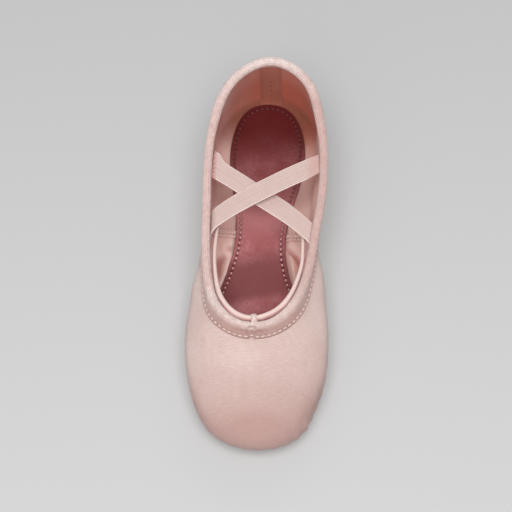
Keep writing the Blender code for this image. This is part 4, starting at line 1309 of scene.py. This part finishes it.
def strap_middle(edges, strap, left, right, share, across):
    """Middle of the strap's thickness: share runs from end to end, across from edge to edge.

    left and right are the places on the canvas edge that it runs between.
    """
    lateral, medial, bow = strap
    off = (WALL + ROLL_WIDTH) / 2 + SEAT + STRAP_THICKNESS / 2 - STRAP_TUCK
    start = left[:2] + (off, 0.0)
    end = right[:2] - (off, 0.0)
    run = end - start
    before = lateral[1] * (math.pi / 2 - 1.0) + STRAP_LEG
    after = medial[1] * (math.pi / 2 - 1.0) + STRAP_LEG
    x = start[0] - before + share * (run[0] + before + after)
    y = start[1] + (x - start[0]) * run[1] / run[0]
    y += across * STRAP_WIDTH / 2 * math.hypot(*run) / run[0]
    side = -1 if x < (start[0] + end[0]) / 2 else 1
    _, radius, reach, swing, front, rear = lateral if side < 0 else medial
    from_wall = x - start[0] if side < 0 else end[0] - x
    near = min(1.0, max(0.0, 1.0 - from_wall / reach)) ** 2
    flop = 1.0 - smoothstep(0.30, 0.66, from_wall / reach)
    y += near * (swing + front * max(0.0, -across)) + flop * rear * max(0.0, across)
    at_edge, slope = edge_at(edges, side, y)
    wall_x = at_edge[0] - side * off
    fold_x = wall_x - side * radius
    middle_share = (x - start[0]) / run[0]
    level = left[2] + (right[2] - left[2]) * middle_share - STRAP_DROP
    level += bow * max(0.0, 1.0 - (2.0 * middle_share - 1.0) ** 2)
    past = side * (x - fold_x)
    if past <= 0.0:
        return x, y, level
    if past <= radius * math.pi / 2:
        angle = past / radius
        return fold_x + side * radius * math.sin(angle), y, level - radius * (1.0 - math.cos(angle))
    down = past - radius * math.pi / 2
    return wall_x - down * slope[0], y, level - radius - down


def make_strap(name, node, edges, strap, sewn_ends, material):
    """One ribbed elastic across the opening; gives what its end stitches lie on."""
    shares = np.concatenate((
        np.linspace(0.0, 0.17, 28)[:-1], np.linspace(0.17, 0.83, 90), np.linspace(0.83, 1.0, 28)[1:],
    ))
    columns = np.linspace(-1.0, 1.0, STRAP_COLUMNS)
    left, right = (edge_at(edges, side, end[0])[0] for side, end in zip((-1, 1), strap))
    grid = np.array([
        [strap_middle(edges, strap, left, right, share, across) for across in columns] for share in shares
    ])
    normal = unit(np.cross(np.gradient(grid, axis=0), np.gradient(grid, axis=1)))
    if normal[len(shares) // 2, STRAP_COLUMNS // 2, 2] < 0.0:
        normal = -normal
    selvedge = smoothstep(0.86, 0.93, np.abs(columns))
    inside = np.clip(columns / 0.86, -1.0, 1.0)
    rib = np.abs(np.sin(math.pi * STRAP_RIBS * (inside + 1.0) / 2.0))
    rounded = 1.0 - 0.75 * smoothstep(0.93, 1.0, np.abs(columns)) ** 2
    half = STRAP_THICKNESS / 2 * rounded * (0.50 + 0.50 * np.maximum(rib ** 0.6, selvedge * 1.15))
    run = lengths_along(grid[:, STRAP_COLUMNS // 2])
    wave = 0.10 * ripple(run, 15.0, len(node))[:, None]
    upper = grid + (wave + half)[..., None] * normal
    points, faces = slab(upper, grid + (wave - half)[..., None] * normal)
    from_legs = np.array((run, run[-1] - run)) - STRAP_LEG
    # sewn: the under strap's sewn strip, and painted shade at the over strap's ends
    sewn = sum(
        shade * (1.0 - smoothstep(reach - fade, reach + fade, from_leg))
        for from_leg, (reach, fade, shade) in zip(from_legs, sewn_ends)
    )
    valley = np.tile((1.0 - rib ** 0.5) * (1.0 - selvedge), len(run))
    make_piece(
        name, points, faces, node, material,
        np.tile(cloth_grid(run, columns * STRAP_WIDTH / 2), (2, 1)), {
            "valley": np.tile(valley, 2),
            "selvedge": np.tile(selvedge, 2 * len(run)),
            "sewn": np.tile(np.repeat(np.clip(sewn, 0.0, 1.0), len(columns)), 2),
        },
    )
    return from_legs, upper, normal


def make_end_stitches(name, laid, reaches, thread):
    """A slanting stitch over every other rib, near each end of a strap."""
    from_legs, upper, normal = laid
    runs = []
    for from_leg, reach in zip(from_legs, reaches):
        row = int(np.argmin(np.abs(from_leg - reach)))
        columns = range(5, STRAP_COLUMNS, 10)
        runs.append((upper[row, columns], [(0.7, 1.0, 0.0)] * len(columns), normal[row, columns]))
    stitches(name, joined(runs), 1.6, 0.60, 0.05, thread, "elastic")


# ---------------------------------------------------------------- insole and soles

# Edges in section: inset from the outline, and drop below the insole's top or lift over
# the patch's underside
INSOLE_PROFILE = (
    (0.0, 1.7), (0.0, 1.0), (0.12, 0.62), (0.35, 0.32), (0.7, 0.14), (1.1, 0.04), (1.5, 0.02),
    (1.8, 0.05), (2.05, 0.12), (2.3, 0.28), (2.5, 0.42), (2.7, 0.50), (2.9, 0.42), (3.1, 0.28),
    (3.35, 0.12), (3.6, 0.04), (4.0, 0.0), (4.5, 0.0), (5.2, 0.0), (6.2, 0.0),
)
PATCH_PROFILE = (
    (0.0, 1.8), (0.0, 1.1), (0.0, 0.55), (0.15, 0.22), (0.45, 0.05), (0.9, 0.0), (1.4, 0.10),
    (1.75, 0.34), (2.0, 0.42), (2.25, 0.34), (2.6, 0.10), (3.2, 0.0), (4.2, 0.0), (5.5, 0.0),
)
INSOLE_STITCH_RING = 11
PATCH_STITCH_RING = 8


def insole_level(upper_tree, points):
    """Top of the insole where it is not worked: it lies on the canvas or on its folds."""
    levels = SOLE_THICKNESS + SEAT + WALL + ground(points[:, 1])
    found = np.empty(len(points))
    for index, (point, level) in enumerate(zip(points, levels)):
        hit = upper_tree.ray_cast(Vector((point[0], point[1], level + 9.0)), Vector(-UP))[0]
        found[index] = max(level, hit.z + EDGE_LIFT) if hit else level
    soft = 0.22 * ripple(points[:, 0] + 0.5 * points[:, 1], 21.0, 11.0)
    soft += 0.22 * ripple(points[:, 1] - 0.4 * points[:, 0], 34.0, 12.0)
    return found + SEAT + INSOLE_THICKNESS + soft


def make_insole(upper_tree, material, thread):
    """The suede sock with its edge turned by a row of stitches."""
    insets, drops = np.array(INSOLE_PROFILE).T[..., None]
    rings, count, beat = stitched_rings(INSOLE_ROWS, INSOLE_AROUND, insets, INSOLE_PITCH)
    in_row = bell(insets, INSOLE_STITCH_IN, 0.62)
    beside = bell(np.abs(insets - INSOLE_STITCH_IN), 1.05, 0.42)
    hole = 1.0 - smoothstep(0.04, 0.55, beat)
    forefoot = smoothstep(-4.0, -16.0, rings[0, :, 1])
    pit = in_row * ((0.80 + 0.20 * forefoot) * hole + 0.22 * (1.0 - hole))
    pit += beside * (0.30 + 0.35 * forefoot) * hole
    pit[:3] = ((0.80,), (0.65,), (0.35,))
    share = insets / insets[-1]
    rim, inner = (insole_level(upper_tree, rings[index]) for index in (0, -1))
    rings[..., 2] = rim * (1 - share) + inner * share - drops - 0.45 * pit * in_row
    points, faces = panel(rings, INSOLE_SPANS, lambda strip: insole_level(upper_tree, strip))
    x, y = points[:, 0], points[:, 1]
    along = y - 0.25 * x
    # Painted shade: dim in a band behind the throat and under the vamp, shade towards the heel; lit is
    # painted light where the straps cross over the insole
    dim = 1.2 * (1.0 - smoothstep(-1.0, 14.0, along)) * smoothstep(-26.0, -16.0, along)
    make_piece("insole_suede", points, faces, "insole", material, points[:, :2], {
        "pit": padded(pit, len(points)),
        "shade": smoothstep(38.0, 100.0, y),
        "dim": dim + 0.62 * smoothstep(26.0, 56.0, -y),
        "lit": bell(y, 34.0, 11.0),
    })
    line = ringed(rings[INSOLE_STITCH_RING])
    run = stitch_run(line, UP, even_marks(line, count=count), 0.3)
    stitches("insole_stitches", run, 1.45, 1.15, 0.24, thread, "insole_suede")
    places, headings, facings = run
    outside = places + 1.55 * np.cross(unit(headings), facings) - 0.12 * UP
    stitches("insole_side_stitches", (outside, headings, facings), 0.9, 0.7, 0.0, thread, "insole_suede")


def patch_base(points):
    """Underside of a sole patch: flat on the floor, lifting only at the toe."""
    y = points[..., 1]
    return np.where(y < SPRING_START, ground(y), 0.0)


def make_patch(name, node, rows, around, material, thread):
    """One suede patch of the split sole, with its stitched edge."""
    insets, lifts = np.array(PATCH_PROFILE).T[..., None]
    rings, count, beat = stitched_rings(rows, around, insets, PATCH_PITCH)
    pit = bell(insets, PATCH_STITCH_IN, 0.4) * (1.0 - smoothstep(0.05, 0.6, beat))
    top_rings = rings[[0, -1]]
    top_rings[..., 2] = patch_base(top_rings) + SOLE_THICKNESS
    rings[..., 2] = patch_base(rings) + lifts + 0.25 * pit
    points, faces = panel(rings, PATCH_SPANS, patch_base, flip=True)
    top, top_faces = panel(top_rings, PATCH_SPANS, lambda strip: patch_base(strip) + SOLE_THICKNESS)
    faces += [tuple(corner + len(points) for corner in face) for face in top_faces]
    points = np.concatenate((points, top))
    make_piece(
        name, points, faces, node, material, points[:, :2], {"pit": padded(pit, len(points))},
    )
    line = ringed(rings[PATCH_STITCH_RING])
    run = stitch_run(line, -UP, even_marks(line, count=count), 0.3)
    stitches(name + "_stitches", run, 1.5, 0.5, 0.02, thread, "sole_suede")


# ---------------------------------------------------------------- seams

def make_side_seams(tree, thread, shadow_thread):
    """Rows of stitches down each side inside, where the vamp is felled to the quarters, and dark rows beside
    them that are partly needle marks and partly painted shade.
    """
    angles = np.radians(np.linspace(-66.0, 56.0, 110))
    kinds = (("stitches", SEAM_PALE_ROWS, thread), ("needle_marks", SEAM_DARK_ROWS, shadow_thread))
    for kind, rows, finish in kinds:
        for side, seam_y, name in zip((-1.0, 1.0), SEAM_Y, ("lateral", "medial")):
            rays = np.column_stack((side * np.cos(angles), np.zeros(len(angles)), np.sin(angles)))
            for index, (row, pitch, *shape) in enumerate(rows):
                starts = [(side * 8.0, seam_y + row + 0.9 * math.sin(angle), 17.0) for angle in angles]
                line, facings = traced(tree, starts, rays)
                kept = line[:, 2] < 33.0
                line, facings = line[kept], facings[kept]
                run = stitch_run(line, facings, even_marks(line, pitch, 0.3))
                stitches(f"{name}_seam_{kind}_{index}", run, *shape, finish)


def make_heel_tape(tree, material, thread):
    """The tape over the back seam inside the heel, with its rows of stitches."""
    offsets = np.linspace(-TAPE_WIDTH / 2, TAPE_WIDTH / 2, TAPE_COLUMNS)
    levels = np.linspace(4.4, 46.5, 74)
    starts = [(TAPE_X + offset, 92.0, level) for level in levels for offset in offsets]
    grid, facing = (item.reshape(len(levels), -1, 3) for item in traced(tree, starts, (0.0, 1.0, 0.0)))
    from_edge = TAPE_WIDTH / 2 - np.abs(offsets)
    lift = 0.50 * smoothstep(0.0, 0.6, from_edge) - 0.12 * bell(from_edge, 1.2, 0.4)
    front = grid + lift[:, None] * facing
    points, faces = slab(front, grid - 0.15 * facing)
    cloth = np.tile(cloth_grid(levels, offsets)[:, ::-1], (2, 1))
    # The tape takes the heel cup's painted shade, deeper towards its foot
    low = 1.0 - 0.40 * smoothstep(8.0, 20.0, cloth[:, 1]) - 0.28 * smoothstep(28.0, 46.0, cloth[:, 1])
    make_piece(
        "heel_seam_tape", points, faces, None, material, cloth,
        {"deep": np.full(len(points), 0.85), "low": low},
    )

    def down(column, rows, pitch):
        line = front[rows, column]
        return stitch_run(line, facing[rows, column], even_marks(line, pitch, 1.0))

    stitches("heel_tape_centre_stitches", down(TAPE_COLUMNS // 2, slice(2, 46), 4.4), 1.1, 0.75, 0.05, thread)
    runs = [down(column, slice(None), 2.6) for column in (3, 25)]
    for step in range(8):
        row, column = (8, 4)[step % 2] + step // 4, slice(4 + 3 * step, 5 + 3 * step)
        runs.append((front[row, column], [(0.8, 0.0, (-0.6, 0.6)[step % 2])], facing[row, column]))
    stitches("heel_tape_edge_stitches", joined(runs), 1.2, 0.40, 0.05, thread)


def make_outer_seams(tree, thread):
    """Stitching outside: the vamp seam down each side, and the back seam."""
    rows = [
        ((side * 70.0, seam_y + row), (-side, 0.0, 0.0), (4.0, 30.5))
        for side, seam_y in zip((-1.0, 1.0), SEAM_Y) for row in (-OUTER_ROW, OUTER_ROW)
    ]
    rows += [((x, 150.0), (0.0, -1.0, 0.0), (5.0, 41.0)) for x in BACK_SEAM_ROWS]
    runs = []
    for place, ray, heights in rows:
        line, facings = traced(tree, [(*place, z) for z in np.linspace(*heights, 60)], ray)
        runs.append(stitch_run(line, facings, even_marks(line, OUTER_PITCH, 0.5)))
    stitches("outer_seam_stitches", joined(runs), 1.45, 0.45, 0.08, thread)


# ---------------------------------------------------------------- stage

def make_floor():
    """The studio floor, well wider than any view of the shoe."""
    corners = [(x * FLOOR_REACH, y * FLOOR_REACH, 0.0) for x, y in ((-1, -1), (1, -1), (1, 1), (-1, 1))]
    mesh = bpy.data.meshes.new("studio_floor")
    mesh.from_pydata(corners, [], [(0, 1, 2, 3)])
    mesh.materials.append(floor_finish())
    floor = bpy.data.objects.new("studio_floor", mesh)
    bpy.context.scene.collection.objects.link(floor)


def make_lights():
    """Soft area lights in a plain white world."""
    for name, (place, aim, size, watts) in AREA_LIGHTS.items():
        light = bpy.data.lights.new(name, "AREA")
        light.shape = "RECTANGLE"
        light.size, light.size_y = size
        light.energy = watts
        item = bpy.data.objects.new(name, light)
        item.location = place
        item.rotation_euler = (Vector(aim) - Vector(place)).to_track_quat("-Z", "Y").to_euler()
        bpy.context.scene.collection.objects.link(item)
    world = bpy.data.worlds.new("studio")
    world.use_nodes = True
    background = world.node_tree.nodes["Background"]
    background.inputs["Color"].default_value = (1.0, 1.0, 1.0, 1.0)
    background.inputs["Strength"].default_value = WORLD_STRENGTH
    bpy.context.scene.world = world


def make_camera():
    """The camera, from its distance and the side it stands on."""
    azimuth, elevation, roll = (
        math.radians(angle) for angle in (CAMERA_AZIMUTH, CAMERA_ELEVATION, CAMERA_ROLL)
    )
    back = Vector((
        math.sin(azimuth) * math.cos(elevation),
        -math.cos(azimuth) * math.cos(elevation),
        math.sin(elevation),
    ))
    level_right = Vector(UP).cross(back).normalized()
    level_up = back.cross(level_right)
    right = level_right * math.cos(roll) - level_up * math.sin(roll)
    up = level_up * math.cos(roll) + level_right * math.sin(roll)
    data = bpy.data.cameras.new("camera")
    data.sensor_width = SENSOR
    data.lens = CAMERA_LENS
    data.clip_end = 20.0
    camera = bpy.data.objects.new("camera", data)
    turn = Matrix((right, up, back)).transposed().to_4x4()
    place = (Vector(CAMERA_TARGET) + back * CAMERA_DISTANCE) * MM
    camera.matrix_world = Matrix.Translation(place) @ turn
    bpy.context.scene.collection.objects.link(camera)
    bpy.context.scene.camera = camera


make_camera()
make_floor()
make_lights()
bpy.context.scene.view_settings.view_transform = "Standard"

lining = lining_finish()
twill = binding_finish()
elastic = elastic_finish()
insole_suede = suede_finish("insole_suede_nap", SUEDE_PALE, SUEDE_DEEP, SUEDE_PIT, SUEDE_SHADED)
sole_suede = suede_finish("sole_suede_nap", SOLE_PALE, SOLE_DEEP, SOLE_PIT, SOLE_DEEP)
pale_thread = thread_finish("pale_thread", THREAD_PALE)
rose_thread = thread_finish("rose_thread", THREAD_ROSE, THREAD_ROSE_HEEL_SHADE)
seam_thread = thread_finish("seam_thread", THREAD_SEAM)
shadow_thread = thread_finish("seam_shadow_thread", THREAD_SHADOW)
sewn_thread = thread_finish("sewn_thread", THREAD_SEWN)
hole_thread = thread_finish("needle_holes", THREAD_DEEP)

upper = make_upper(Skin(AROUND, LOWER_SPANS, WALL_SPANS, BINDING_SPANS), canvas_finish(), lining)
upper_tree = tree_of(upper)
make_binding(twill, pale_thread)
make_drawcord(cord_finish())
make_loop(twill)
edges = edge_tables()
make_strap("elastic_over", "strap_over", edges, STRAP_OVER, STRAP_OVER_END_SHADE, elastic)
laid = make_strap("elastic_under", "strap_under", edges, STRAP_UNDER, STRAP_UNDER_SEWN, elastic)
make_end_stitches("elastic_under_end_stitches", laid, (4.3, 3.1), sewn_thread)
make_insole(upper_tree, insole_suede, rose_thread)
make_patch("forefoot_patch", "forefoot_sole", FOREFOOT_ROWS, 400, sole_suede, pale_thread)
make_patch("heel_patch", "heel_sole", HEEL_ROWS, 260, sole_suede, pale_thread)
make_side_seams(upper_tree, seam_thread, shadow_thread)
make_heel_tape(upper_tree, lining, hole_thread)
make_outer_seams(upper_tree, pale_thread)
